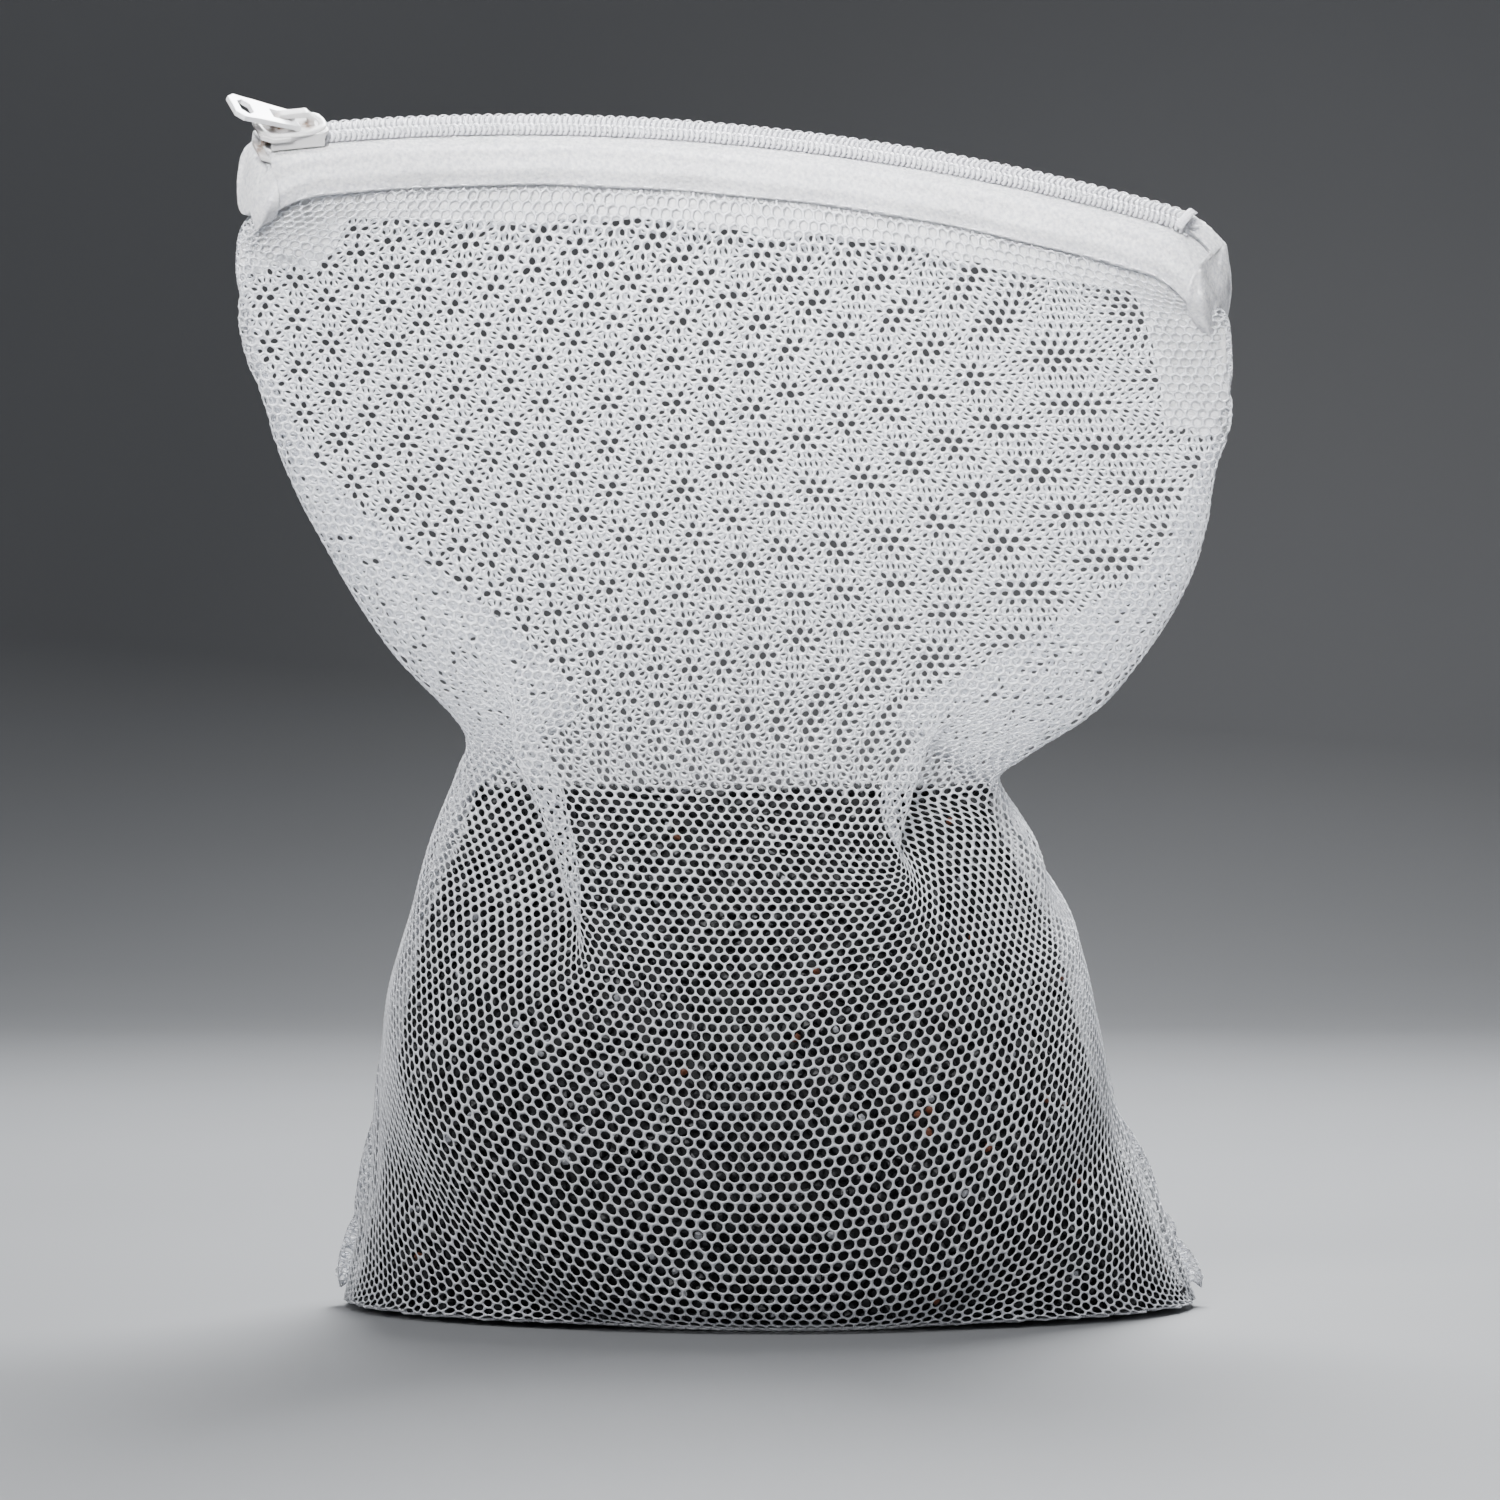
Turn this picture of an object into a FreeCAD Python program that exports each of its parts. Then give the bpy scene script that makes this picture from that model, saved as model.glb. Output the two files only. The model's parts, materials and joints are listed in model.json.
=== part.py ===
import FreeCAD, Part
import math
import os
import Sketcher
from FreeCAD import Placement, Rotation, Vector

# A small net bag with a plastic coil zip, standing on its filled lower half.
#
# Frame: millimetres, +Z up, +X to the right seen from the front, +Y towards the back.
# The origin is the middle of the base, on the surface that the bag stands on.
#
# The closed zip lies along an arc of a circle, flat in a plane that leans back. Its parts are
# drawn in a frame of their own, whose origin is the centre of that circle: x along the chord,
# y outwards to the middle of the zip, z square to the tape. The slider runs round this centre.

doc = FreeCAD.newDocument("net_zip_bag")
sheet = doc.addObject("Spreadsheet::Sheet", "dims")

DIMENSIONS = {
    # zip: place and curve
    "zip_radius": 226.0,
    "zip_mid_x": -5.0,
    "zip_mid_y": 14.0,
    "zip_mid_z": 235.0,
    "zip_lean": 35.0,
    "zip_roll": 5.5,
    "zip_half_angle": 25.0,
    "chain_half_angle": 23.6,
    # zip: tape section
    "tape_thickness": 0.6,
    "tape_top": -0.3,
    "tape_edge": 0.7,
    "tape_flat": 5.9,
    "skirt_thickness": 0.72,
    "tape_skirt_lean": 0.70,
    "front_skirt_drop": 6.2,
    "back_skirt_square": 3.2,
    "back_skirt_drop": 6.2,
    # zip: coils
    "coil_inner": 0.6,
    "coil_outer": 2.9,
    "coil_bottom": -0.25,
    "coil_top": 1.95,
    "coil_wall": 0.6,
    "cord_size": 0.8,
    # slider
    "slider_angle": 23.4,
    "slider_rear": 6.5,
    "slider_mouth": 7.5,
    "slider_rear_half": 4.5,
    "slider_mouth_half": 5.4,
    "slider_shoulder": 2.0,
    "slider_rear_corner": 1.0,
    "slider_mouth_corner": 2.0,
    "slider_plate": 1.0,
    "slider_floor": -1.2,
    "slider_roof": 2.25,
    "slider_flange_gap": 3.5,
    "slider_flange": 1.0,
    "flange_floor": 0.1,
    "divider_half": 0.3,
    "divider_start": 2.5,
    "divider_setback": 1.0,
    "crown_half_length": 4.2,
    "crown_leg": 1.2,
    "crown_height": 3.0,
    "crown_half_width": 1.1,
    "crown_corner": 1.4,
    "crown_inner_corner": 0.6,
    "crown_root": 0.4,
    # pull tab
    "pivot_height": 0.95,
    "pivot_bar_radius": 0.72,
    "pull_angle": 20.0,
    "pull_thickness": 1.1,
    "pull_length": 13.6,
    "pull_neck_half": 3.6,
    "pull_end_half": 4.9,
    "pull_corner": 1.6,
    "window_half": 1.75,
    "window_length": 4.9,
    "eye_half_length": 3.1,
    "eye_half_width": 1.3,
    "eye_place": 10.6,
    # net and fill
    "net_wall": 1.2,
    "panel_low": 106.0,
    "zip_clearance": 0.35,
    "fill_gap": 0.9,
    "fill_top": 104.0,
    # thread
    "thread_radius": 0.22,
    "stitch_length": 2.4,
    "stitch_pitch": 3.6,
    "stitch_gap": 0.08,
    "front_stitch_down": 4.4,
    "front_stitch_standoff": 0.75,
    "back_stitch_down": 3.0,
    "seam_low": 6.0,
    "seam_top": 196.0,
    "seam_gap": 1.0,
    "tack_width": 1.2,
    "tack_height": 0.7,
    "tack_overhang": 1.6,
    "tack_gap": 0.1,
}

# Cross-sections of the net bag, from the base to the mouth: height, left and right edge,
# front and back at the middle, and how far the edges stand forward of the middle.
LEVELS = ["base", "heel", "belly", "waist", "neck", "throat", "shoulder", "pouch", "hem", "mouth"]
LEVEL_WORDS = ["height", "left", "right", "front", "back", "bow"]
LEVEL_SIZES = {
    "base": (0.0, -86.0, 86.0, -44.0, 44.0, 0.0),
    "heel": (18.0, -81.5, 78.0, -49.0, 48.0, 0.0),
    "belly": (45.0, -77.5, 67.0, -42.0, 46.0, 0.0),
    "waist": (76.0, -72.0, 59.0, -22.0, 42.0, 0.0),
    "neck": (106.0, -62.0, 47.0, 1.0, 36.0, 2.0),
    "throat": (126.0, -75.0, 71.0, 4.0, 32.0, 6.0),
    "shoulder": (152.0, -92.0, 88.5, 6.0, 28.0, 10.0),
    "pouch": (182.0, -103.0, 92.0, 7.5, 25.0, 13.0),
    "hem": (208.0, -107.0, 92.5, 9.0, 22.5, 15.0),
    "mouth": (236.0, -104.0, 92.0, 9.5, 21.0, 15.6),
}
SECTION_POINTS = 20
SECTION_STEP = 9.0
# How far the surface through the side seams runs past them, as a share of the half width.
SEAM_REACH = 1.15
# The spaces that other shapes are cut with reach this far: well outside the bag, and round the zip.
FAR = 200.0
ZIP_SPACE = 60.0
ZIP_SPACE_SWEEP = 80.0

for level, sizes in LEVEL_SIZES.items():
    for word, size in zip(LEVEL_WORDS, sizes):
        DIMENSIONS[f"{level}_{word}"] = size

for row, (name, size) in enumerate(DIMENSIONS.items(), start=1):
    sheet.set(f"A{row}", name)
    sheet.set(f"B{row}", str(size))
    sheet.setAlias(f"B{row}", name)
doc.recompute()


def dim(name):
    """The number that a named cell of the sheet holds."""
    return float(sheet.get(name))


# ---------------------------------------------------------------- frames

def zip_frame():
    """The frame of the zip's circle, its origin at the circle's centre."""
    turn = Rotation(Vector(0, 1, 0), dim("zip_roll")) * Rotation(Vector(1, 0, 0), dim("zip_lean"))
    middle = Vector(dim("zip_mid_x"), dim("zip_mid_y"), dim("zip_mid_z"))
    centre = middle - turn.multVec(Vector(0, dim("zip_radius"), 0))
    return Placement(centre, turn)


def along_zip(angle):
    """A frame on the chain at an angle from its middle, positive to the left."""
    turn = Placement(Vector(0, 0, 0), Rotation(Vector(0, 0, 1), angle))
    out = Placement(Vector(0, dim("zip_radius"), 0), Rotation())
    return zip_frame() * turn * out


def slider_frame():
    return along_zip(dim("slider_angle"))


def pull_frame():
    """The frame of the pull tab, its origin on the axis of the pivot bar."""
    up = dim("slider_roof") + dim("slider_plate") + dim("pivot_height")
    lift = Placement(Vector(0, 0, up), Rotation(Vector(0, 1, 0), dim("pull_angle")))
    return slider_frame() * lift


# ---------------------------------------------------------------- sketch helpers

def new_body(label, placement):
    body = doc.addObject("PartDesign::Body", label)
    body.Label = label
    body.Placement = placement
    return body


def origin_plane(body, role):
    return next(item for item in body.Origin.OriginFeatures if item.Role == role)


def new_sketch(body, name, role, height=None):
    """A sketch on one of its body's origin planes, moved along the normal by an expression."""
    sketch = body.newObject("Sketcher::SketchObject", name)
    sketch.AttachmentSupport = [(origin_plane(body, role), "")]
    sketch.MapMode = "FlatFace"
    if height is not None:
        sketch.setExpression("AttachmentOffset.Base.z", height)
    return sketch


def bind_point(sketch, line, across, up):
    """Hold a line's first point at two expressions, measured from the sketch's origin."""
    for kind, expression in (("DistanceX", across), ("DistanceY", up)):
        index = sketch.addConstraint(Sketcher.Constraint(kind, -1, 1, line, 1, 1.0))
        sketch.setExpression(f"Constraints[{index}]", expression)


def add_outline(sketch, points):
    """A closed outline through points given as pairs of expressions."""
    first = sketch.GeometryCount
    rough = [evaluate_pair(sketch, across, up) for across, up in points]
    count = len(points)
    for i in range(count):
        start = Vector(*rough[i], 0)
        end = Vector(*rough[(i + 1) % count], 0)
        sketch.addGeometry(Part.LineSegment(start, end))
    for i in range(count):
        following = first + (i + 1) % count
        sketch.addConstraint(Sketcher.Constraint("Coincident", first + i, 2, following, 1))
    for i, (across, up) in enumerate(points):
        bind_point(sketch, first + i, across, up)


def evaluate_pair(sketch, across, up):
    return tuple(float(sketch.evalExpression(text)) for text in (across, up))


def add_circle(sketch, across, up, radius):
    centre = evaluate_pair(sketch, across, up)
    index = sketch.addGeometry(Part.Circle(Vector(*centre, 0), Vector(0, 0, 1), 1.0))
    for kind, expression in (("DistanceX", across), ("DistanceY", up)):
        held = sketch.addConstraint(Sketcher.Constraint(kind, -1, 1, index, 3, 1.0))
        sketch.setExpression(f"Constraints[{held}]", expression)
    held = sketch.addConstraint(Sketcher.Constraint("Radius", index, 1.0))
    sketch.setExpression(f"Constraints[{held}]", radius)


def pad(body, name, sketch, length, both_ways=False):
    feature = body.newObject("PartDesign::Pad", name)
    feature.Profile = sketch
    feature.setExpression("Length", length)
    feature.Midplane = both_ways
    return feature


def pocket_through(body, name, sketch):
    feature = body.newObject("PartDesign::Pocket", name)
    feature.Profile = sketch
    feature.Type = "ThroughAll"
    feature.Midplane = True
    return feature


# ---------------------------------------------------------------- zip: tapes, coils, cords

def revolved_strip(label, outlines, half_angle):
    """A strip along the zip. Its section's x is the distance from the chain's middle line."""
    body = new_body(label, zip_frame())
    sketch = new_sketch(body, f"{label}_section", "YZ_Plane")
    for outline in outlines:
        add_outline(sketch, [(f"dims.zip_radius + {across}", up) for across, up in outline])
    strip = body.newObject("PartDesign::Revolution", f"{label}_strip")
    strip.Profile = sketch
    strip.ReferenceAxis = (sketch, ["V_Axis"])
    strip.Midplane = True
    strip.setExpression("Angle", f"2 * dims.{half_angle}")
    return body


def front_tape():
    """The tape's front half: flat beside the chain, then folded down over the net."""
    low = "dims.tape_top - dims.tape_thickness"
    fold = "dims.tape_flat"
    fall = "dims.front_skirt_drop"
    lean = "dims.tape_skirt_lean"
    thick = "dims.skirt_thickness"
    section = [
        ("-dims.tape_edge", low),
        ("-dims.tape_edge", "dims.tape_top"),
        (f"-{fold} - {thick}", "dims.tape_top"),
        (f"-{fold} - {thick} - {fall} * {lean}", f"{low} - {fall}"),
        (f"-{fold} - {fall} * {lean}", f"{low} - {fall}"),
        (f"-{fold}", low),
    ]
    return revolved_strip("front_tape", [section], "zip_half_angle")


def back_tape():
    """The tape's back half: flat, then square down past the slider, then down like the front."""
    low = "dims.tape_top - dims.tape_thickness"
    fold = "dims.tape_flat"
    square = "dims.back_skirt_square"
    fall = "dims.back_skirt_drop"
    lean = "dims.tape_skirt_lean"
    thick = "dims.skirt_thickness"
    section = [
        ("dims.tape_edge", "dims.tape_top"),
        ("dims.tape_edge", low),
        (fold, low),
        (fold, f"{low} - {square}"),
        (f"{fold} - {fall} * {lean}", f"{low} - {square} - {fall}"),
        (f"{fold} + {thick} - {fall} * {lean}", f"{low} - {square} - {fall}"),
        (f"{fold} + {thick}", f"{low} - {square}"),
        (f"{fold} + {thick}", "dims.tape_top"),
    ]
    return revolved_strip("back_tape", [section], "zip_half_angle")


def rectangle(inner, outer, bottom, top):
    return [(inner, bottom), (outer, bottom), (outer, top), (inner, top)]


def coil(label, sign):
    """One half of the chain: the outer shape of a nylon coil, hollow for its filler cord."""
    wall = "dims.coil_wall"
    inner, outer = f"{sign} * dims.coil_inner", f"{sign} * dims.coil_outer"
    hollow_inner = f"{sign} * (dims.coil_inner + {wall})"
    hollow_outer = f"{sign} * (dims.coil_outer - {wall})"
    outside = rectangle(inner, outer, "dims.coil_bottom", "dims.coil_top")
    floor, roof = f"dims.coil_bottom + {wall}", f"dims.coil_top - {wall}"
    inside = rectangle(hollow_inner, hollow_outer, floor, roof)
    return revolved_strip(label, [outside, inside], "chain_half_angle")


def filler_cord(label, sign):
    """The cord that runs inside a coil."""
    middle = f"{sign} * (dims.coil_inner + dims.coil_outer) / 2"
    height = "(dims.coil_bottom + dims.coil_top) / 2"
    half = "dims.cord_size / 2"
    sides = (f"{middle} - {half}", f"{middle} + {half}")
    section = rectangle(*sides, f"{height} - {half}", f"{height} + {half}")
    return revolved_strip(label, [section], "chain_half_angle")


# ---------------------------------------------------------------- slider and pull tab

def slider_outline():
    """The slider's plates from above: square at the rear, wider at the mouth."""
    rear, mouth = "dims.slider_rear", "-dims.slider_mouth"
    shoulder = "-dims.slider_shoulder"
    narrow, wide = "dims.slider_rear_half", "dims.slider_mouth_half"
    small, large = "dims.slider_rear_corner", "dims.slider_mouth_corner"
    return [
        (rear, f"-{narrow} + {small}"), (rear, f"{narrow} - {small}"), (f"{rear} - {small}", narrow),
        ("0", narrow), (shoulder, wide), (f"{mouth} + {large}", wide), (mouth, f"{wide} - {large}"),
        (mouth, f"-{wide} + {large}"), (f"{mouth} + {large}", f"-{wide}"), (shoulder, f"-{wide}"),
        ("0", f"-{narrow}"), (f"{rear} - {small}", f"-{narrow}"),
    ]


def slider_body():
    body = new_body("slider_body", slider_frame())

    divider = new_sketch(body, "divider_outline", "XY_Plane", "dims.slider_floor - dims.slider_plate / 2")
    half = "dims.divider_half"
    nose = "-dims.slider_mouth + dims.divider_setback"
    add_outline(divider, rectangle(nose, "-dims.divider_start", f"-{half}", half))
    pad(body, "divider", divider, "dims.slider_roof - dims.slider_floor + dims.slider_plate")

    bottom = new_sketch(body, "bottom_outline", "XY_Plane", "dims.slider_floor - dims.slider_plate")
    add_outline(bottom, slider_outline())
    pad(body, "bottom_plate", bottom, "dims.slider_plate")

    top = new_sketch(body, "top_outline", "XY_Plane", "dims.slider_roof")
    add_outline(top, slider_outline())
    pad(body, "top_plate", top, "dims.slider_plate")

    for side, sign in (("front", "-1"), ("back", "1")):
        flange = new_sketch(body, f"{side}_flange_outline", "XY_Plane", "dims.flange_floor")
        near = f"{sign} * dims.slider_flange_gap"
        far = f"{sign} * (dims.slider_flange_gap + dims.slider_flange)"
        head = "-dims.slider_mouth + dims.slider_mouth_corner"
        tail = "dims.slider_rear - dims.slider_rear_corner"
        add_outline(flange, rectangle(head, tail, near, far))
        pad(body, f"{side}_flange", flange, "dims.slider_roof")

    crown = new_sketch(body, "crown_outline", "XZ_Plane")
    plate_top = "dims.slider_roof + dims.slider_plate"
    foot, top = f"{plate_top} - dims.crown_root", f"{plate_top} + dims.crown_height"
    under = f"{top} - dims.crown_leg"
    reach, opening = "dims.crown_half_length", "dims.crown_half_length - dims.crown_leg"
    outer, inner = "dims.crown_corner", "dims.crown_inner_corner"
    add_outline(crown, [
        (f"-({reach})", foot), (f"-({opening})", foot), (f"-({opening})", f"{under} - {inner}"),
        (f"-({opening}) + {inner}", under), (f"{opening} - {inner}", under),
        (opening, f"{under} - {inner}"), (opening, foot), (reach, foot),
        (reach, f"{top} - {outer}"), (f"{reach} - {outer}", top),
        (f"-({reach}) + {outer}", top), (f"-({reach})", f"{top} - {outer}"),
    ])
    pad(body, "crown", crown, "2 * dims.crown_half_width", both_ways=True)
    return body


def pull_tab():
    """A flat tapering tab: pivot bar at the narrow end, window for the crown, oval eye."""
    body = new_body("pull_tab", pull_frame())
    end, narrow, wide = "-dims.pull_length", "dims.pull_neck_half", "dims.pull_end_half"
    corner, half = "dims.pull_corner", "dims.pull_thickness / 2"

    plate = new_sketch(body, "plate_outline", "XY_Plane")
    add_outline(plate, [
        ("0", f"-{narrow}"), ("0", narrow), (f"{end} + {corner}", wide), (end, f"{wide} - {corner}"),
        (end, f"-{wide} + {corner}"), (f"{end} + {corner}", f"-{wide}"),
    ])
    pad(body, "plate", plate, f"2 * ({half})", both_ways=True)

    window = new_sketch(body, "window_outline", "XY_Plane")
    open_half = "dims.window_half"
    past_bar = "dims.pivot_bar_radius"
    add_outline(window, rectangle("-dims.window_length", past_bar, f"-{open_half}", open_half))
    pocket_through(body, "window", window)

    eye = new_sketch(body, "eye_outline", "XY_Plane")
    place, reach, thin = "-dims.eye_place", "dims.eye_half_length", "dims.eye_half_width"
    add_outline(eye, [
        (f"{place} - {thin}", f"-{reach} + {thin}"), (f"{place} - {thin}", f"{reach} - {thin}"),
        (place, reach), (f"{place} + {thin}", f"{reach} - {thin}"),
        (f"{place} + {thin}", f"-{reach} + {thin}"), (place, f"-{reach}"),
    ])
    pocket_through(body, "eye", eye)

    bar = new_sketch(body, "bar_section", "XZ_Plane")
    add_circle(bar, "0", "0", "dims.pivot_bar_radius")
    pad(body, "pivot_bar", bar, f"2 * {narrow}", both_ways=True)
    return body


# ---------------------------------------------------------------- net and fill

def section_wire(sizes, inset):
    """A closed round curve at one height, drawn in from the bag's outer surface by the inset."""
    height, left, right, front, back, bow = sizes
    middle_x, half_width = (left + right) / 2, (right - left) / 2 - inset
    middle_y, half_depth = (front + back) / 2, (back - front) / 2 - inset
    points = []
    for i in range(SECTION_POINTS):
        turn = 2 * math.pi * i / SECTION_POINTS
        across = math.cos(turn)
        y = middle_y + half_depth * math.sin(turn) - bow * across ** 2
        points.append(Vector(middle_x + half_width * across, y, height))
    curve = Part.BSplineCurve()
    curve.interpolate(Points=points, PeriodicFlag=True)
    return Part.Wire([curve.toShape()])


def level_sizes(level):
    return tuple(dim(f"{level}_{word}") for word in LEVEL_WORDS)


def between_levels(height):
    """The bag's section at any height, on a smooth curve through the levels."""
    rows = [level_sizes(level) for level in LEVELS]
    index = max(i for i in range(len(rows) - 1) if rows[i][0] <= height)
    low, high = rows[index], rows[index + 1]
    before, after = rows[max(index - 1, 0)], rows[min(index + 2, len(rows) - 1)]
    span = high[0] - low[0]
    share = (height - low[0]) / span
    section = [height]
    for a, b, c, d in list(zip(before, low, high, after))[1:]:
        slope_low = (c - a) / (high[0] - before[0]) * span
        slope_high = (d - b) / (after[0] - low[0]) * span
        section.append(
            (2 * share**3 - 3 * share**2 + 1) * b + (share**3 - 2 * share**2 + share) * slope_low
            + (3 * share**2 - 2 * share**3) * c + (share**3 - share**2) * slope_high
        )
    return tuple(section)


def lofted(bottom, top, inset):
    """A solid between two heights, its sides drawn in from the bag's outer surface."""
    count = max(2, round((top - bottom) / SECTION_STEP)) + 1
    heights = [bottom + (top - bottom) * i / (count - 1) for i in range(count)]
    return Part.makeLoft([section_wire(between_levels(height), inset) for height in heights], True, True)


def zip_space():
    """The space of the zip and its folded tapes, with a little room below their hems."""
    gap = dim("zip_clearance")
    low = dim("tape_top") - dim("tape_thickness")
    fold = dim("tape_flat") + dim("skirt_thickness")
    lean = dim("tape_skirt_lean")
    front_fall = dim("front_skirt_drop") + gap
    back_fall = dim("back_skirt_drop") + gap
    back_low = low - dim("back_skirt_square") - back_fall
    outline = [
        (-fold - front_fall * lean - ZIP_SPACE, low - front_fall),
        (-fold - front_fall * lean, low - front_fall),
        (fold - back_fall * lean, back_low),
        (fold - back_fall * lean + ZIP_SPACE, back_low),
        (fold + ZIP_SPACE, ZIP_SPACE),
        (-fold - ZIP_SPACE, ZIP_SPACE),
    ]
    points = [Vector(0, dim("zip_radius") + across, up) for across, up in outline]
    face = Part.Face(Part.makePolygon(points + points[:1]))
    face.rotate(Vector(0, 0, 0), Vector(0, 0, 1), -ZIP_SPACE_SWEEP / 2)
    space = face.revolve(Vector(0, 0, 0), Vector(0, 0, 1), ZIP_SPACE_SWEEP)
    space.Placement = zip_frame().multiply(space.Placement)
    return space


def add_shape(label, shape):
    item = doc.addObject("Part::Feature", label)
    item.Label = label
    item.Shape = shape
    return item


def seam_section(height):
    """A closed outline at one height: the surface through both side seams, and a front far off."""
    _, left, right, front, back, bow = between_levels(height)
    middle_x, half_width = (left + right) / 2, (right - left) / 2
    points = []
    for i in range(SECTION_POINTS + 1):
        across = SEAM_REACH * (2 * i / SECTION_POINTS - 1)
        y = (front + back) / 2 - bow * across ** 2
        points.append(Vector(middle_x + half_width * across, y, height))
    curve = Part.BSplineCurve()
    curve.interpolate(points)
    left_end, right_end = points[0], points[-1]
    corners = [right_end, Vector(right_end.x, -FAR, height), Vector(left_end.x, -FAR, height), left_end]
    return Part.Wire([curve.toShape(), *Part.makePolygon(corners).Edges])


def net_panels():
    """The net as three skins: the base round the fill, and the pouch's front and back panels."""
    wall, neck = dim("net_wall"), dim("panel_low")
    top = dim(f"{LEVELS[-1]}_height")
    net = lofted(0.0, top, 0.0).cut(lofted(wall, top, wall)).cut(zip_space())
    low_space = Part.makeBox(2 * FAR, 2 * FAR, FAR, Vector(-FAR, -FAR, neck - FAR))
    count = round((top - neck) / SECTION_STEP) + 1
    heights = [neck + (top - neck) * i / (count - 1) for i in range(count)]
    front_space = Part.makeLoft([seam_section(height) for height in heights], True, True)
    pouch = net.cut(low_space)
    return [
        add_shape("net_base", net.common(low_space)),
        add_shape("net_front", pouch.common(front_space)),
        add_shape("net_back", pouch.cut(front_space)),
    ]


def granular_fill():
    """The granules as one lump, level on top."""
    inset = dim("net_wall") + dim("fill_gap")
    return add_shape("granular_fill", lofted(inset, dim("fill_top"), inset))


# ---------------------------------------------------------------- stitches

def stitch(start, direction):
    radius, length = dim("thread_radius"), dim("stitch_length")
    return Part.makeCylinder(radius, length, start, direction)


def front_row():
    """Where the front stitches run in the zip's section: down the slope of the folded tape."""
    down = dim("front_stitch_down")
    fold = dim("tape_flat") + dim("skirt_thickness")
    across = -fold - down * dim("tape_skirt_lean") - dim("front_stitch_standoff")
    return across, dim("tape_top") - dim("tape_thickness") - down


def back_row():
    """Where the back stitches run in the zip's section: beside the tape's square fall."""
    fold = dim("tape_flat") + dim("skirt_thickness")
    return fold + dim("thread_radius") + dim("stitch_gap"), -dim("back_stitch_down")


def tape_stitches(label, across, up):
    """A row of stitches along a tape's fold, at one place in the zip's section."""
    radius = dim("zip_radius") + across
    step = math.degrees(dim("stitch_pitch") / radius)
    count = int(2 * (dim("zip_half_angle") - 1) / step)
    frame = zip_frame()
    solids = []
    for i in range(count):
        angle = math.radians((i - (count - 1) / 2) * step)
        place = Vector(-radius * math.sin(angle), radius * math.cos(angle), up)
        run = Vector(-math.cos(angle), -math.sin(angle), 0)
        start = frame.multVec(place - run * (dim("stitch_length") / 2))
        solids.append(stitch(start, frame.Rotation.multVec(run)))
    return add_shape(label, Part.makeCompound(solids))


def seam_stitches(label, side):
    """A row of stitches up one side seam, just outside the net's edge."""
    low, top, step = dim("seam_low"), dim("seam_top"), dim("stitch_pitch")
    outside = dim("thread_radius") + dim("seam_gap")
    count = int((top - low) / step)
    solids = []
    for i in range(count):
        here = edge_point(low + i * step, side, outside)
        run = edge_point(low + (i + 1) * step, side, outside) - here
        run.normalize()
        solids.append(stitch(here, run))
    return add_shape(label, Part.makeCompound(solids))


def edge_point(height, side, outside):
    """A point beside the bag's left or right edge."""
    _, left, right, front, back, bow = between_levels(height)
    x = left - outside if side == "left" else right + outside
    return Vector(x, (front + back) / 2 - bow, height)


def end_tack():
    """The bar of thread across the chain at its closed end."""
    width, height = dim("tack_width"), dim("tack_height")
    reach = dim("coil_outer") + dim("tack_overhang")
    low = dim("coil_top") + dim("tack_gap")
    bar = Part.makeBox(width, 2 * reach, height, Vector(-width / 2, -reach, low))
    place = along_zip(-dim("chain_half_angle") + math.degrees(width / dim("zip_radius")))
    bar.Placement = place.multiply(bar.Placement)
    return add_shape("end_tack", bar)


# ---------------------------------------------------------------- all the pieces

pieces = [
    *net_panels(),
    granular_fill(),
    front_tape(),
    back_tape(),
    coil("front_coil", "-1"),
    coil("back_coil", "1"),
    filler_cord("front_coil_cord", "-1"),
    filler_cord("back_coil_cord", "1"),
    slider_body(),
    pull_tab(),
    tape_stitches("front_tape_stitches", *front_row()),
    tape_stitches("back_tape_stitches", *back_row()),
    seam_stitches("left_seam_stitches", "left"),
    seam_stitches("right_seam_stitches", "right"),
    end_tack(),
]
doc.recompute()

for item in doc.Objects:
    failed = [state for state in item.State if state in ("Invalid", "Error")]
    if failed:
        raise RuntimeError(f"{item.Label} is {failed}")
for piece in pieces:
    shape = piece.Shape
    if shape.isNull() or not shape.isValid() or shape.Volume <= 0:
        raise RuntimeError(f"{piece.Label} has no valid shape")

os.makedirs("parts", exist_ok=True)
for piece in pieces:
    piece.Shape.exportStep(f"parts/{piece.Label}.step")
    box = piece.Shape.BoundBox
    low = ", ".join(f"{value:.1f}" for value in (box.XMin, box.YMin, box.ZMin))
    high = ", ".join(f"{value:.1f}" for value in (box.XMax, box.YMax, box.ZMax))
    print(f"{piece.Label}: {len(piece.Shape.Solids)} solids, {piece.Shape.Volume:.1f} mm3, {low} to {high}")
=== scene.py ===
import json
import math

import bpy
import numpy as np
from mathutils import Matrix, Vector


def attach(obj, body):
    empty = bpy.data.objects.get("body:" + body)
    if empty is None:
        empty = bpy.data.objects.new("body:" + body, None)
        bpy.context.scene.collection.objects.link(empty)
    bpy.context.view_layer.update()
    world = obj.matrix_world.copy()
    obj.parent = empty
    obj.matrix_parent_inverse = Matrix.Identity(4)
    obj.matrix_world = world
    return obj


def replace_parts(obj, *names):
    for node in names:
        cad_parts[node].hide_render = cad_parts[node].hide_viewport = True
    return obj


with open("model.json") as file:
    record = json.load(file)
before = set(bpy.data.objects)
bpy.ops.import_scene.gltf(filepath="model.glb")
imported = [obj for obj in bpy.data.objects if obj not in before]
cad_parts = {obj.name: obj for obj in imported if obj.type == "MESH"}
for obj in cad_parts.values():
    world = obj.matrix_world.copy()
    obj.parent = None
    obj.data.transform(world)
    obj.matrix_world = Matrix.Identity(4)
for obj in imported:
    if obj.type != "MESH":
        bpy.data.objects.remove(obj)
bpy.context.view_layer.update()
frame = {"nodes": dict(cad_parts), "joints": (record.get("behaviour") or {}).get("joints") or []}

# Lengths below are millimetres; make_piece turns them into metres.
MM = 0.001
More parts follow.
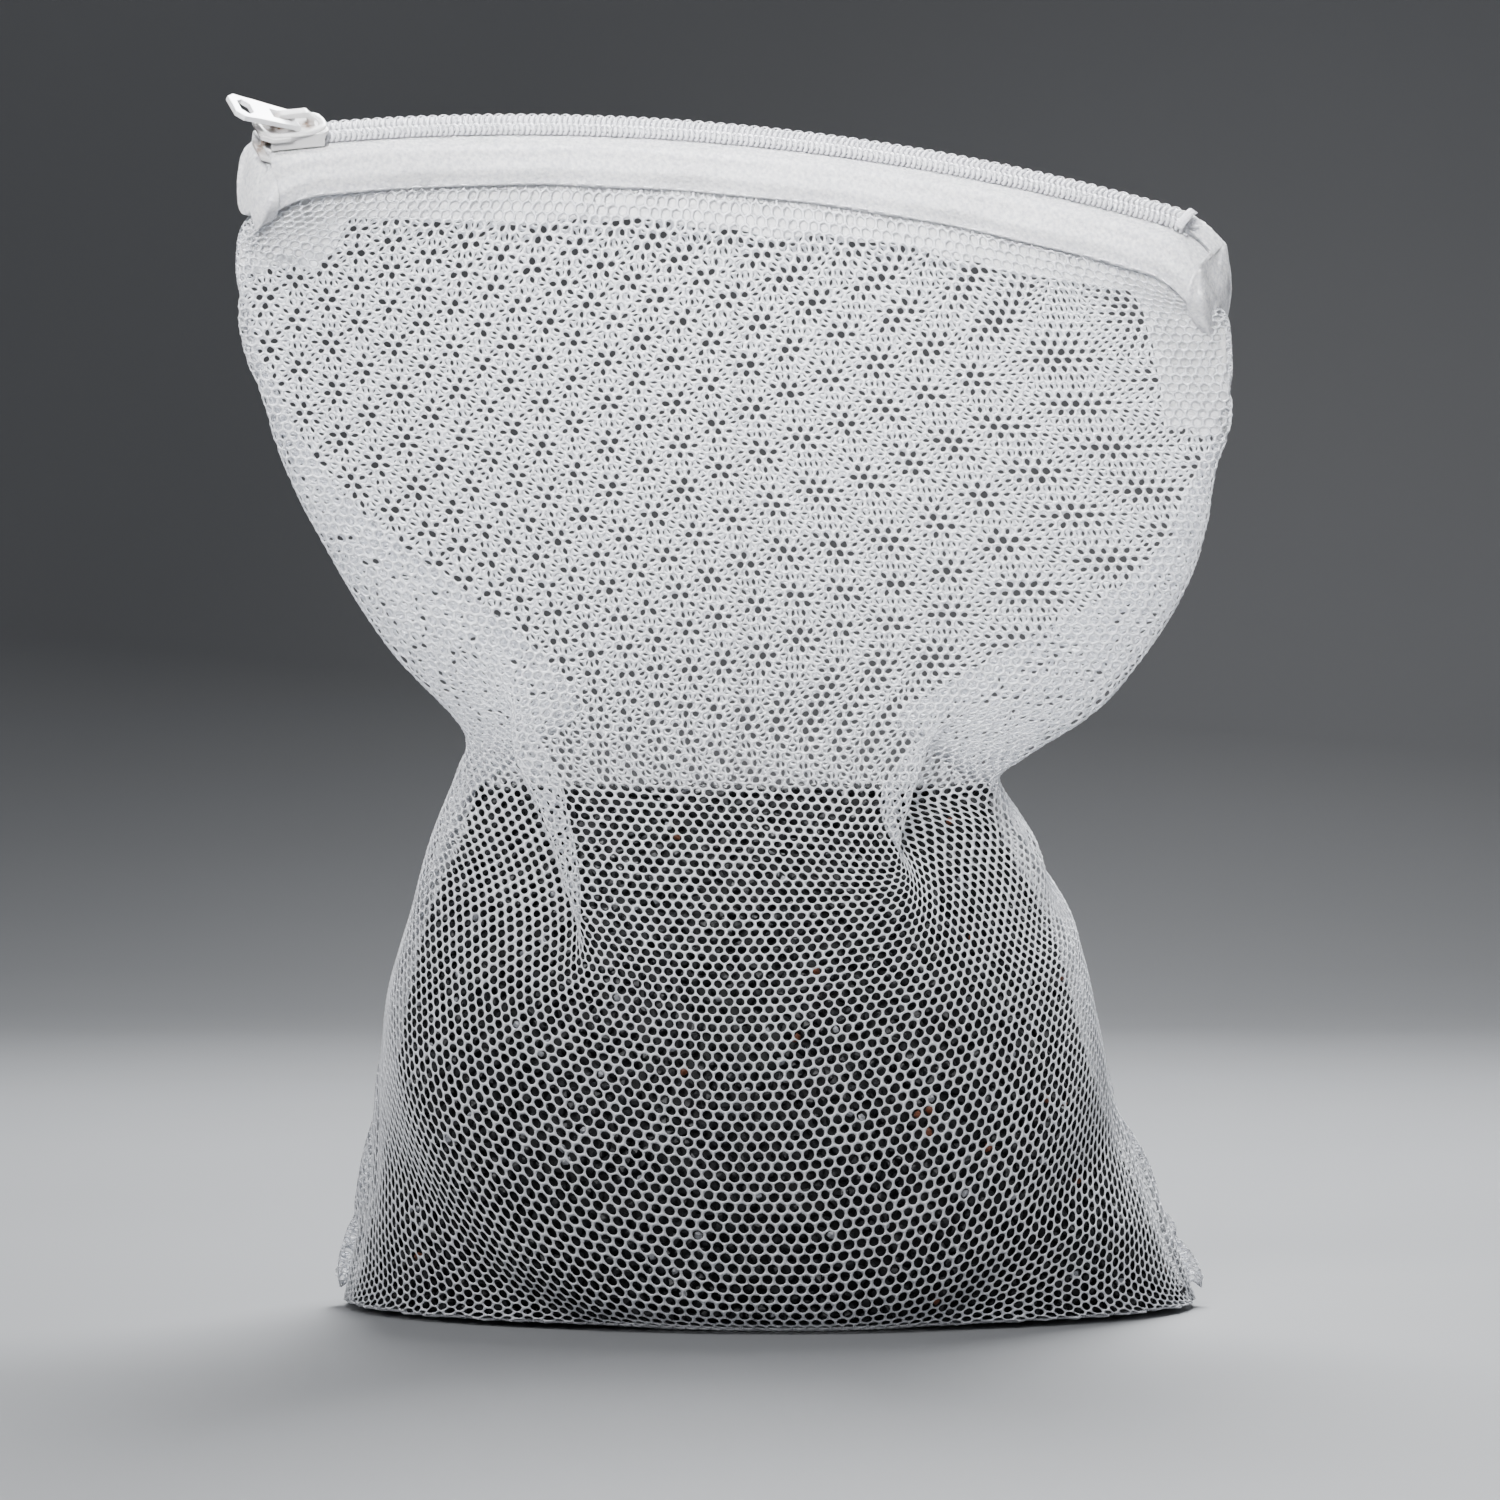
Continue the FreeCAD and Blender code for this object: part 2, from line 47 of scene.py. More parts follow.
RNG = np.random.default_rng(604)


# ---------------------------------------------------------------- the zip's circle

def unit(vectors):
    """Vectors of length one, along the last axis."""
    vectors = np.asarray(vectors, float)
    return vectors / (np.linalg.norm(vectors, axis=-1, keepdims=True) + 1e-12)


TRAVEL = next(joint for joint in frame["joints"] if joint["name"] == "slider_travel")
ZIP_RADIUS = 226.0
ZIP_CENTRE = np.array(TRAVEL["pos_m"]) / MM
E_UP = -unit(TRAVEL["axis"])
E_ALONG = unit(np.cross((0, 1, 0), E_UP))
E_OUT = np.cross(E_UP, E_ALONG)
TAPE_HALF, CHAIN_HALF = math.radians(25.0), math.radians(23.6)
# The tape's section: flat out to the fold, then a skirt that leans in. The back skirt falls
# square first.
FOLD = 5.9
SKIRT_LEAN = 0.70
FRONT_DROP, BACK_DROP, BACK_SQUARE = 6.2, 6.2, 3.2
SKIRT_TOP, FRONT_HEM, BACK_HEM = -0.9, -7.1, -10.3
# The front skirt's hem rolls in under it: how far below the fold, and how far in and down.
ROLL_FROM, ROLL_IN, ROLL_DOWN = 3.6, 1.5, 0.9

# Past this angle the tape's ends hang down: the whole of it on the right, and on the left
# only its skirts, because the slider holds the rest.
DROOP_START = math.radians(22.3)
DROOP_RIGHT, DROOP_LEFT = 4.4, 3.0
SLIDER_HALF, SLIDER_MARGIN = 5.9, 1.8


def end_droop(angle, across):
    """How far the tape's ends hang down."""
    past = np.clip((np.abs(angle) - DROOP_START) / (TAPE_HALF - DROOP_START), 0, 1.4) ** 2
    beside_slider = np.clip((np.abs(across) - SLIDER_HALF) / SLIDER_MARGIN, 0, 1)
    return past * np.where(angle < 0, DROOP_RIGHT, DROOP_LEFT * beside_slider)


def on_circle(angle, across, up):
    """Points by the angle from the chain's middle, positive to the left, and the place in its section."""
    angle, across, up = np.broadcast_arrays(angle, across, up)
    radius = ZIP_RADIUS + across
    return (
        ZIP_CENTRE
        - (radius * np.sin(angle))[..., None] * E_ALONG
        + (radius * np.cos(angle))[..., None] * E_OUT
        + up[..., None] * E_UP
    )


def on_zip(angle, across, up):
    """The same for the cloth parts, whose ends hang down."""
    return on_circle(angle, across, up - end_droop(angle, across))


def skirt_wave(angle, side):
    """How far a skirt's hem stands out at an angle: it is not quite straight."""
    return 0.22 * np.sin(angle * 21 + side) + 0.12 * np.sin(angle * 47 + 2 * side)


# ---------------------------------------------------------------- pieces and materials

def in_scene(name, data):
    """A new object in the scene."""
    thing = bpy.data.objects.new(name, data)
    bpy.context.scene.collection.objects.link(thing)
    return thing


def make_piece(name, points, faces, body, slot, material, smooth=True, flat=None):
    """A mesh piece from points in millimetres that rides on a CAD body.

    Flat is each point's place on the flat cloth, from 0 to 1, for its texture coordinates.
    """
    blocks = [np.asarray(block, np.int32) for block in faces if len(block)]
    corners = np.concatenate([block.ravel() for block in blocks])
    sizes = np.concatenate([np.full(len(block), block.shape[1], np.int32) for block in blocks])
    mesh = bpy.data.meshes.new(name)
    mesh.vertices.add(len(points))
    mesh.vertices.foreach_set("co", (np.asarray(points) * MM).astype(np.float32).ravel())
    mesh.loops.add(len(corners))
    mesh.loops.foreach_set("vertex_index", corners)
    mesh.polygons.add(len(sizes))
    mesh.polygons.foreach_set("loop_start", np.r_[0, np.cumsum(sizes)[:-1]].astype(np.int32))
    mesh.update(calc_edges=True)
    mesh.validate()
    mesh.polygons.foreach_set("use_smooth", np.full(len(mesh.polygons), smooth))
    if flat is not None:
        index = np.zeros(len(mesh.loops), np.int32)
        mesh.loops.foreach_get("vertex_index", index)
        layer = mesh.uv_layers.new(name="OFBake")
        layer.data.foreach_set("uv", flat[index].astype(np.float32).ravel())
    mesh.materials.append(material)
    piece = in_scene(name, mesh)
    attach(piece, body)
    return piece


def stand_in(name, shape, slot, material, node):
    """A piece on the bag's body that takes the place of a CAD node."""
    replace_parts(make_piece(name, *shape, "bag", slot, material), node)


def joined(parts):
    """Several (points, faces) shapes as one."""
    points, faces, first = [], [], 0
    for part_points, part_faces in parts:
        points.append(part_points)
        faces += [np.asarray(block) + first for block in part_faces]
        first += len(part_points)
    by_size = {}
    for block in faces:
        by_size.setdefault(block.shape[1], []).append(block)
    return np.concatenate(points), [np.concatenate(blocks) for blocks in by_size.values()]


def wrapped(rings, sides):
    """Quads between neighbouring rings of points."""
    i, k = np.meshgrid(np.arange(rings - 1), np.arange(sides), indexing="ij")
    a, b = i * sides + k, i * sides + (k + 1) % sides
    return np.stack([a, b, b + sides, a + sides], -1).reshape(-1, 4)


TUBE_END = 0.45  # how narrow a tube's ends are, as a share of its radius


def tube(path, radius, sides=6):
    """A round tube with closed, narrowed ends along a path."""
    path = np.asarray(path, float)
    count = len(path)
    tangent = unit(np.gradient(path, axis=0))
    normal = np.cross(tangent[0], (0.3, 0.5, 0.81))
    normals = np.empty_like(path)
    for i in range(count):
        normal = unit(normal - tangent[i] * (normal @ tangent[i]))
        normals[i] = normal
    binormals = np.cross(tangent, normals)
    radii = np.full(count, float(radius))
    radii[[0, -1]] *= TUBE_END
    turn = 2 * np.pi * np.arange(sides)[None, :, None] / sides
    ring = np.cos(turn) * normals[:, None] + np.sin(turn) * binormals[:, None]
    points = (path[:, None] + ring * radii[:, None, None]).reshape(-1, 3)
    caps = np.array([np.arange(sides)[::-1], (count - 1) * sides + np.arange(sides)])
    return points, [wrapped(count, sides), caps]


def feed(material, node, inputs):
    """Give a node's inputs values, or link them to other nodes' outputs."""
    for name, value in inputs.items():
        if isinstance(value, bpy.types.NodeSocket):
            material.node_tree.links.new(value, node.inputs[name])
        else:
            node.inputs[name].default_value = value


def shader_node(material, kind, output, inputs, **settings):
    """A new node of a material, as the output that is used."""
    node = material.node_tree.nodes.new(f"ShaderNode{kind}")
    for name, value in settings.items():
        setattr(node, name, value)
    feed(material, node, inputs)
    return node.outputs[output]


ROUGH_SPREAD = 0.08
RELIEF_DEPTH = 0.1


def make_material(name, colour, other, rough, scale, bump, sheen=0.0, relief_ratio=9.0, contrast=1.0,
                  glow=0.0):
    """A procedural material: two colours mixed by noise, uneven roughness and a fine relief.

    Contrast sharpens the mix, and glow is how much light passes into the yarn and out again.
    """
    material = bpy.data.materials.new(name)
    material.use_nodes = True
    place = shader_node(material, "TexCoord", "Object", {})

    def noise(noise_scale, detail):
        inputs = {"Scale": noise_scale, "Detail": detail, "Vector": place}
        return shader_node(material, "TexNoise", "Fac", inputs)

    share = shader_node(material, "MapRange", "Result", {
        "From Min": 0.5 - 0.5 / contrast, "From Max": 0.5 + 0.5 / contrast, "Value": noise(scale, 3.0)
    })
    feed(material, material.node_tree.nodes["Principled BSDF"], {
        "Base Color": shader_node(material, "Mix", "Result", {
            "A": (*colour, 1), "B": (*other, 1), "Factor": share
        }, data_type="RGBA"),
        "Roughness": shader_node(material, "MapRange", "Result", {
            "To Min": rough - ROUGH_SPREAD, "To Max": rough + ROUGH_SPREAD, "Value": noise(scale * 2.3, 2.0)
        }),
        "Normal": shader_node(material, "Bump", "Normal", {
            "Strength": bump, "Distance": RELIEF_DEPTH * MM, "Height": noise(scale * relief_ratio, 4.0)
        }),
        "Sheen Weight": sheen,
        "Subsurface Weight": glow,
        "Subsurface Radius": (1.0, 1.0, 1.0),
        "Subsurface Scale": MM,
    })
    return material


NET_MATERIAL = make_material("net_yarn", (0.86, 0.87, 0.91), (0.79, 0.81, 0.87), 0.5, 90, 0.35,
                             sheen=0.1, glow=0.5)
TAPE_MATERIAL = make_material("tape_weave", (1.0, 0.995, 1.0), (0.64, 0.645, 0.69), 0.75, 1250, 1.6,
                              sheen=0.25, relief_ratio=1.3, contrast=3.0, glow=0.5)
# A paler copy of the tape weave for the tape's parts inside the pouch, behind the net, with more light
# passing through its yarn. Its paler colour is painted light that lifts those parts out of the shade behind
# the net.
INNER_TAPE_PAINTED_LIGHT_MATERIAL = make_material("inner_tape_weave_painted_light", (1.0, 1.0, 1.0), (0.88, 0.885, 0.92), 0.75, 1900,
                                    1.0, sheen=0.2, relief_ratio=1.3, contrast=2.0, glow=0.95)
COIL_MATERIAL = make_material("coil_nylon", (0.86, 0.86, 0.89), (0.80, 0.80, 0.84), 0.3, 120, 0.1)
CORD_MATERIAL = make_material("cord_yarn", (0.84, 0.84, 0.86), (0.74, 0.74, 0.78), 0.7, 700, 0.6)
THREAD_MATERIAL = make_material("sewing_thread", (0.89, 0.89, 0.92), (0.80, 0.80, 0.85), 0.55, 900, 0.5,
                                sheen=0.1)
GRAIN_MATERIAL = make_material("dark_grain", (0.017, 0.018, 0.021), (0.006, 0.006, 0.007), 0.38, 400, 0.7)
SPARK_MATERIAL = make_material("pale_grain", (0.62, 0.63, 0.66), (0.30, 0.30, 0.33), 0.22, 500, 0.4)
RED_MATERIAL = make_material("rusty_grain", (0.30, 0.095, 0.045), (0.12, 0.05, 0.03), 0.5, 500, 0.5)
HEAP_MATERIAL = make_material("heap", (0.016, 0.016, 0.018), (0.008, 0.008, 0.009), 0.7, 500, 1.0)


# ---------------------------------------------------------------- the net's shape

# The net is one cloth: two panels with a shared bottom fold, side seams and a mouth.
# grid[i, k] runs across the width with i, and from the back's top, k = 0, down to the
# bottom fold, k = DOWN, and up the front to k = 2 * DOWN.
STEP = 2.5
WIDTH, DEPTH = 200.0, 287.5
ACROSS, DOWN = int(WIDTH / STEP), int(DEPTH / STEP)
HEM_V = 281.0
SKIRT_GAP = 0.4

# Rows of the front panel by their distance v from the bottom fold. Each point is (u, x, y, z),
# u being its distance from the left seam: seam, edge, valley, crest, middle, crest, valley,
# edge, seam. At the neck the cloth lies in a pleat under each crest and in a gusset at each side.
FRONT_ROWS = {
    0: [(0, -86, 0, 3), (20, -69, 0, 0.6), (44, -48, 0, 0.6), (72, -24, 0, 0.6), (100, 0, 0, 0.6),
        (128, 24, 0, 0.6), (156, 48, 0, 0.6), (180, 69, 0, 0.6), (200, 86, 0, 3)],
    22: [(0, -82.5, 0, 20), (20, -71, -14, 8), (44, -50, -20, 0.6), (72, -25, -22, 0.6), (100, 0, -22, 0.6),
         (128, 24, -22, 0.6), (156, 47, -20, 0.6), (180, 66, -14, 8), (200, 78, 0, 19)],
    45: [(0, -78, 0, 43), (20, -75, -14, 30), (44, -58, -33, 14), (72, -33, -42, 4), (100, -2, -45, 1.2),
         (128, 28, -42, 3), (156, 52, -33, 14), (180, 67, -14, 29), (200, 68, 0, 41)],
    70: [(0, -74, 4, 67), (20, -76, -10, 56), (44, -65, -30, 42), (72, -36, -44, 30), (100, -4, -49, 25),
         (128, 26, -46, 28), (156, 52, -32, 38), (180, 65, -10, 53), (200, 62, 4, 64)],
    100: [(0, -64, 12, 92), (22, -71, -4, 78), (56, -48, -29, 63), (70, -34, -38, 58), (100, -6, -42, 54),
          (130, 25, -37, 58), (144, 39, -30, 61), (178, 61, -4, 72), (200, 54, 12, 88)],
    115: [(0, -58, 15, 103), (22, -68, 2, 90), (59, -38, -24, 73), (67, -36, -32, 70), (99, -7, -33, 67),
          (131, 26, -30, 70), (140, 34, -23, 73), (178, 57, 2, 80), (200, 47, 15, 99)],
    130: [(0, -50, 17, 112), (22, -66, 6, 98), (56, -36, -12, 86), (64, -41, -20, 83), (98, -7, -22, 80),
          (132, 27, -20, 82), (141, 30, -11, 86), (178, 54, 6, 90), (200, 38, 17, 108)],
    141: [(0, -44, 18, 116), (23, -63, 9, 106), (53, -38, -5, 95), (61, -44, -13, 92), (98, -8, -15, 89),
          (135, 27, -14, 88), (144, 24, -3, 95), (176, 50, 12, 98), (200, 34, 18, 112)],
    150: [(0, -38, 19, 119), (24, -61, 11, 112), (50, -40, 0, 103), (58, -47, -6, 100), (98, -8, -8, 97),
          (138, 27, -8, 94), (147, 20, -1, 99), (174, 46, 9, 105), (200, 26, 19, 117)],
    165: [(0, -42, 20, 128), (24, -64, 14, 119), (50, -46, 5, 114), (58, -53, 0, 112), (98, -8, 1, 109),
          (138, 31, 0, 108), (147, 25, 5, 111), (174, 53, 12, 111), (200, 30, 20, 122)],
    180: [(0, -56, 19, 142), (20, -79, 14, 134), (48, -56, 8, 127), (58, -48, 5, 126), (98, -7, 5, 123),
          (138, 33, 5, 121), (148, 43, 8, 121), (178, 68, 13, 121), (200, 47, 19, 132)],
    205: [(0, -84, 17, 160), (12, -95, 12, 160), (48, -57, 8, 153), (58, -47, 7.5, 150), (98, -7, 7, 147),
          (138, 34, 7.5, 144), (148, 44, 8, 143), (186, 84, 11, 143), (200, 74, 17, 146)],
    235: [(0, -101.5, 9.5, 187), (4, -104.5, 7.5, 187), (48, -60, 8.5, 180), (58, -50, 9, 178),
          (98, -8, 9.5, 175), (138, 33, 9, 172), (148, 44, 8.5, 171), (195, 90.5, 7, 170), (200, 89, 9, 172)],
    265: [(0, -107, 2, 213), (4, -103.5, 2.2, 213), (48, -60, 8, 207), (58, -50, 8.7, 206),
          (98, -8, 10.5, 203), (138, 33, 8.5, 199), (148, 43, 7.5, 198), (196, 88.5, 1.5, 196),
          (200, 92.5, 1, 196)],
}
# The back panel between the same seams: edge, flank, middle, flank, edge.
BACK_ROWS = {
    0: [(20, -69, 0, 0.6), (50, -43, 0, 0.6), (100, 0, 0, 0.6), (150, 43, 0, 0.6), (180, 69, 0, 0.6)],
    22: [(20, -71, 14, 8), (50, -45, 20, 0.6), (100, 0, 22, 0.6), (150, 43, 20, 0.6), (180, 66, 14, 8)],
    45: [(20, -75, 14, 30), (50, -55, 34, 12), (100, 0, 44, 1.2), (150, 52, 34, 12), (180, 67, 14, 29)],
    70: [(20, -75, 20, 56), (50, -58, 40, 38), (100, -2, 48, 25), (150, 50, 40, 36), (180, 64, 20, 53)],
    100: [(22, -70, 24, 79), (52, -48, 42, 62), (98, -5, 47, 55), (148, 40, 42, 60), (178, 60, 24, 73)],
    115: [(22, -67, 23, 91), (54, -43, 41, 75), (98, -6, 44, 69), (146, 34, 41, 73), (178, 56, 22, 82)],
    130: [(22, -65, 22, 100), (56, -36, 38, 87), (98, -8, 41, 83), (142, 27, 38, 86), (178, 52, 21, 92)],
    141: [(23, -63, 21, 107), (56, -37, 36, 97), (98, -8, 39, 93), (141, 26, 36, 96), (176, 48, 21, 99)],
    150: [(24, -61, 20, 112), (56, -38, 35, 105), (98, -8, 38, 102), (140, 25, 35, 103), (174, 46, 21, 105)],
    165: [(24, -64, 20, 120), (56, -42, 33, 118), (98, -8, 36, 117), (140, 29, 33, 116), (174, 52, 21, 112)],
    180: [(20, -79, 20, 135), (55, -46, 31, 132), (98, -6, 33, 131), (142, 36, 31, 128), (178, 67, 20, 122)],
    205: [(12, -95, 17, 161), (52, -54, 27, 158), (98, -7, 29, 156), (144, 38, 27, 150), (186, 84, 16, 144)],
    235: [(4, -104, 10, 188), (50, -58, 22, 185), (98, -8, 25, 184), (146, 40, 21, 179), (195, 90, 10, 171)],
    265: [(4, -103, 5, 214), (50, -58, 17, 212), (98, -8, 23, 212), (146, 40, 17, 206), (196, 88, 4, 197)],
}


def hermite(share, start, start_slope, end, end_slope):
    """The cubic between two values with given slopes."""
    share = np.asarray(share)[..., None]
    return (
        (2 * share**3 - 3 * share**2 + 1) * start + (share**3 - 2 * share**2 + share) * start_slope
        + (3 * share**2 - 2 * share**3) * end + (share**3 - share**2) * end_slope
    )


def smooth_line(knots, values, at):
    """A smooth line through values at knots, its slopes taken from the neighbours on both sides."""
    single = [1] * (values.ndim - 1)
    slopes = np.empty_like(values)
    slopes[1:-1] = (values[2:] - values[:-2]) / (knots[2:] - knots[:-2]).reshape(-1, *single)
    slopes[0] = (values[1] - values[0]) / (knots[1] - knots[0])
    slopes[-1] = (values[-1] - values[-2]) / (knots[-1] - knots[-2])
    part = np.clip(np.searchsorted(knots, at, side="right") - 1, 0, len(knots) - 2)
    span = (knots[part + 1] - knots[part]).reshape(-1, *single)
    share = (np.asarray(at) - knots[part]) / (knots[part + 1] - knots[part])
    if values.ndim > 2:
        share = share[:, None]
    return hermite(share, values[part], slopes[part] * span, values[part + 1], slopes[part + 1] * span)


def under_skirt(side, v):
    """A panel's row at v where it lies under its tape's skirt. Side is 1 in front, -1 behind."""
    angle = (1 - 2 * np.linspace(0, 1, ACROSS + 1)) * (TAPE_HALF + 0.002)
    if side > 0:
        across, up = -FOLD - FRONT_DROP * SKIRT_LEAN + SKIRT_GAP + ROLL_IN, FRONT_HEM - ROLL_DOWN
    else:
        across, up = FOLD - BACK_DROP * SKIRT_LEAN - SKIRT_GAP, BACK_HEM
    rise = min(max(v - HEM_V, -3), 8)
    slope = np.array([SKIRT_LEAN, 1.0]) / math.hypot(SKIRT_LEAN, 1.0)
    return on_zip(angle, across + slope[0] * rise - side * skirt_wave(angle, side), up + slope[1] * rise)


def first_grid():
    """The cloth laid along its rows, before it relaxes."""
    grid = np.zeros((ACROSS + 1, 2 * DOWN + 1, 3))
    heights = np.array(list(FRONT_ROWS), float)
    front = np.array(list(FRONT_ROWS.values()), float)
    seams = ((row[0], row[-1]) for row in FRONT_ROWS.values())
    back = np.array([[left, *row, right] for (left, right), row in zip(seams, BACK_ROWS.values())], float)
    u = np.arange(ACROSS + 1) * STEP
    for side, rows in ((1, front), (-1, back)):
        hem = under_skirt(side, HEM_V)
        keys = rows[-1, :, 0]
        hem_row = np.stack([keys, *(np.interp(keys, u, hem[:, axis]) for axis in range(3))], -1)
        rows, knots = np.concatenate([rows, hem_row[None]]), np.r_[heights, HEM_V]
        for j in range(DOWN + 1):
            v = j * STEP
            if v >= HEM_V:
                grid[:, DOWN + side * j] = under_skirt(side, v)
                continue
            keys = smooth_line(knots, rows, np.array([v]))[0]
            grid[:, DOWN + side * j] = smooth_line(keys[:, 0], keys[:, 1:], u)
    return grid


def hold(grid, first, second, rest, stiff, soft):
    """Bring pairs of points to their rest distance: stiffly when too far, softly when too near."""
    a, b = grid[first], grid[second]
    gap = b - a
    length = np.sqrt((gap * gap).sum(-1)) + 1e-9
    share = (length - rest) / length * 0.5
    gap *= np.where(share > 0, share * stiff, share * soft)[..., None]
    grid[first] = a + gap
    grid[second] = b - gap


# The fill's outline: height, left, right, front, back. It is the bag's own outer shape.
FILL_ROWS = np.array([
    (0, -86, 86, -44, 44), (18, -81.5, 78, -49, 48), (45, -77.5, 67, -42, 46),
    (76, -72, 59, -22, 42), (105, -62.3, 47.3, 0.3, 36.2),
])
FILL_TOP, FILL_BOTTOM = 105.0, 1.2
FILL_INSET = 1.0
TOP_REACH = 14  # points no deeper than this below the fill's top may leave it upwards
FLOOR_GAP = 0.45


def outside_fill(grid):
    """Keep the net outside the granules and above the floor."""
    z = grid[..., 2].copy()
    left, right, front, back = (np.interp(z, FILL_ROWS[:, 0], FILL_ROWS[:, c]) for c in range(1, 5))
    mid_x, half_x = (left + right) / 2, (right - left) / 2 - FILL_INSET
    mid_y, half_y = (front + back) / 2, (back - front) / 2 - FILL_INSET
    x, y = (grid[..., 0] - mid_x) / half_x, (grid[..., 1] - mid_y) / half_y
    rho = np.sqrt(x * x + y * y) + 1e-9
    inside = (rho < 1) & (z < FILL_TOP) & (z > FILL_BOTTOM)
    near_top = FILL_TOP - z < np.minimum((1 - rho) * np.minimum(half_x, half_y), TOP_REACH)
    grid[..., 2] = np.where(inside & near_top, FILL_TOP, z)
    out = np.where(inside & ~near_top, 1 / rho, 1)
    grid[..., 0] = mid_x + (grid[..., 0] - mid_x) * out
    grid[..., 1] = mid_y + (grid[..., 1] - mid_y) * out
    np.maximum(grid[..., 2], FLOOR_GAP, out=grid[..., 2])


def smoothed(grid, strength):
    """Take out ripples finer than the cloth can make, along both directions of the grid."""
    for axis in (0, 1):
        line = np.moveaxis(grid, axis, 0)
        second = line[:-2] - 2 * line[1:-1] + line[2:]
        line[2:-2] -= strength * (second[:-2] - 2 * second[1:-1] + second[2:])


ROUNDS = 70
MEMORY = 0.08  # how strongly the cloth is drawn back to its rows, at first
THREADS, SHEAR = (0.8, 0.12), (0.12, 0.04)  # stiffness when too far apart and when too near
SMOOTHING = 0.05
PANEL_GAP, GAP_FROM = 1.0, 20


def every_other(first, count):
    """Slices over neighbouring pairs of lines, of which every second pair is taken."""
    pairs = (count - first) // 2
    return np.s_[first:first + 2 * pairs:2], np.s_[first + 1:first + 1 + 2 * pairs:2]


def relaxed(grid):
    """Let the cloth find its own length: it can't stretch, it can buckle, and it lies on the fill."""
    start = grid.copy()
    diagonal = STEP * math.sqrt(2)
    every = np.s_[:]
    for turn in range(ROUNDS):
        grid += MEMORY * (1 - 0.7 * (turn / ROUNDS)) * (start - grid)
        for first in (0, 1):
            low, high = every_other(first, grid.shape[0])
            hold(grid, (low, every), (high, every), STEP, *THREADS)
            hold(grid, (low, np.s_[:-1]), (high, np.s_[1:]), diagonal, *SHEAR)
            hold(grid, (low, np.s_[1:]), (high, np.s_[:-1]), diagonal, *SHEAR)
            low, high = every_other(first, grid.shape[1])
            hold(grid, (every, low), (every, high), STEP, *THREADS)
        smoothed(grid, SMOOTHING)
        front, back = grid[:, DOWN + 1:], grid[:, DOWN - 1::-1]
        short = np.clip(PANEL_GAP - (back[..., 1] - front[..., 1]), 0, None) / 2
        short[front[..., 2] < GAP_FROM] = 0
        short[[0, -1]] = 0
        front[..., 1] -= short
        back[..., 1] += short
        for edge in (0, ACROSS):
            middle = (grid[edge, DOWN + 1:] + grid[edge, DOWN - 1::-1]) / 2
            grid[edge, DOWN + 1:] = middle
            grid[edge, DOWN - 1::-1] = middle
        outside_fill(grid)
        for pinned in (np.s_[:3], np.s_[2 * DOWN - 2:]):
            grid[:, pinned] = start[:, pinned]
    return grid


# Where each side seam draws the cloth in, by height up the seam, and how far it swells between.
PUCKERS = (
    (-1, (0, 20, 41, 60, 86, 108), (1.1, 1.2, 0.9, 1.1, 0.8)),
    (1, (0, 15, 23, 44, 74, 98), (1.6, 1.1, 2.3, 1.5, 0.9)),
)
LOBE_LEAN, LOBE_REACH = 1.9, 13.0


def puckered(grid):
    """Swell the cloth beside the seams into lobes that lean inwards, each as wide as one pucker."""
    u = STEP * np.arange(ACROSS + 1)[:, None]
    v = STEP * np.abs(np.arange(2 * DOWN + 1) - DOWN)[None, :]
    for sign, knots, sizes in PUCKERS:
        from_seam = u if sign < 0 else WIDTH - u
        along = v + LOBE_LEAN * from_seam
        lobes = sum(
            size * np.sin(np.pi * np.clip((along - low) / (high - low), 0, 1)) ** 0.8
            for low, high, size in zip(knots, knots[1:], sizes)
        )
        grid[..., 0] += sign * lobes * np.exp(-(from_seam / LOBE_REACH) ** 2) * np.clip(v / 5.0, 0, 1)
    return grid


GRID = puckered(relaxed(first_grid()))
GRID_NORMALS = unit(np.cross(np.gradient(GRID, axis=0), np.gradient(GRID, axis=1)))


def sampled(field, i, k):
    """A smooth value of a grid field between its points."""
    i, k = np.clip(i, 0, ACROSS), np.clip(k, 0, 2 * DOWN)
    i0, k0 = np.minimum(i.astype(int), ACROSS - 1), np.minimum(k.astype(int), 2 * DOWN - 1)
    total = 0
    for step_i, weight_i in enumerate(spline_weights(i - i0), -1):
        row = np.clip(i0 + step_i, 0, ACROSS)
        for step_k, weight_k in enumerate(spline_weights(k - k0), -1):
            column = np.clip(k0 + step_k, 0, 2 * DOWN)
            total = total + field[row, column] * (weight_i * weight_k)[..., None]
    return total


def spline_weights(t):
    """The weights of four neighbouring points at a share of the way between the middle two."""
    return (
        (-t + 2 * t**2 - t**3) / 2, (2 - 5 * t**2 + 3 * t**3) / 2,
        (t + 4 * t**2 - 3 * t**3) / 2, (-t**2 + t**3) / 2,
    )


def on_net(side, u, v, offset=0.0):
    """A point of a panel by its place on the flat panel, and how far it stands outside it."""
    i, k = np.asarray(u, float) / STEP, DOWN + side * np.asarray(v, float) / STEP
    return sampled(GRID, i, k) + unit(sampled(GRID_NORMALS, i, k)) * np.asarray(offset)[..., None]


# ---------------------------------------------------------------- the net

PITCH = 2.2
ROW_PITCH = PITCH * math.sqrt(3) / 2
# A hole's radius, and how much wider it is stretched where the fill spreads the net: by v.
HOLE, STRETCHED = 0.79, 0.09
STRETCH_FROM, STRETCH_OVER = 190, 80
# Where the neck draws the net together and its holes close up: u, v and the reach in each.
DRAWN_IN = ((40, 124, 22, 30), (162, 120, 19, 36))
DRAWN_SHARE = 0.27
UNEVEN = 0.05
# How far the yarn stands out of the cloth's middle, at a cell's corners and between them.
YARN_CORNER, YARN_SIDE = 0.25, 0.17


def uneven(points):
    """Flat points shifted a little, alike wherever cells share a point."""
    x, y = points.T
    return points + UNEVEN * np.stack([
        np.sin(x * 1.9 + y * 2.3) + np.sin(y * 0.61), np.sin(x * 2.7 - y * 1.3) + np.sin(x * 0.47)
    ], -1)


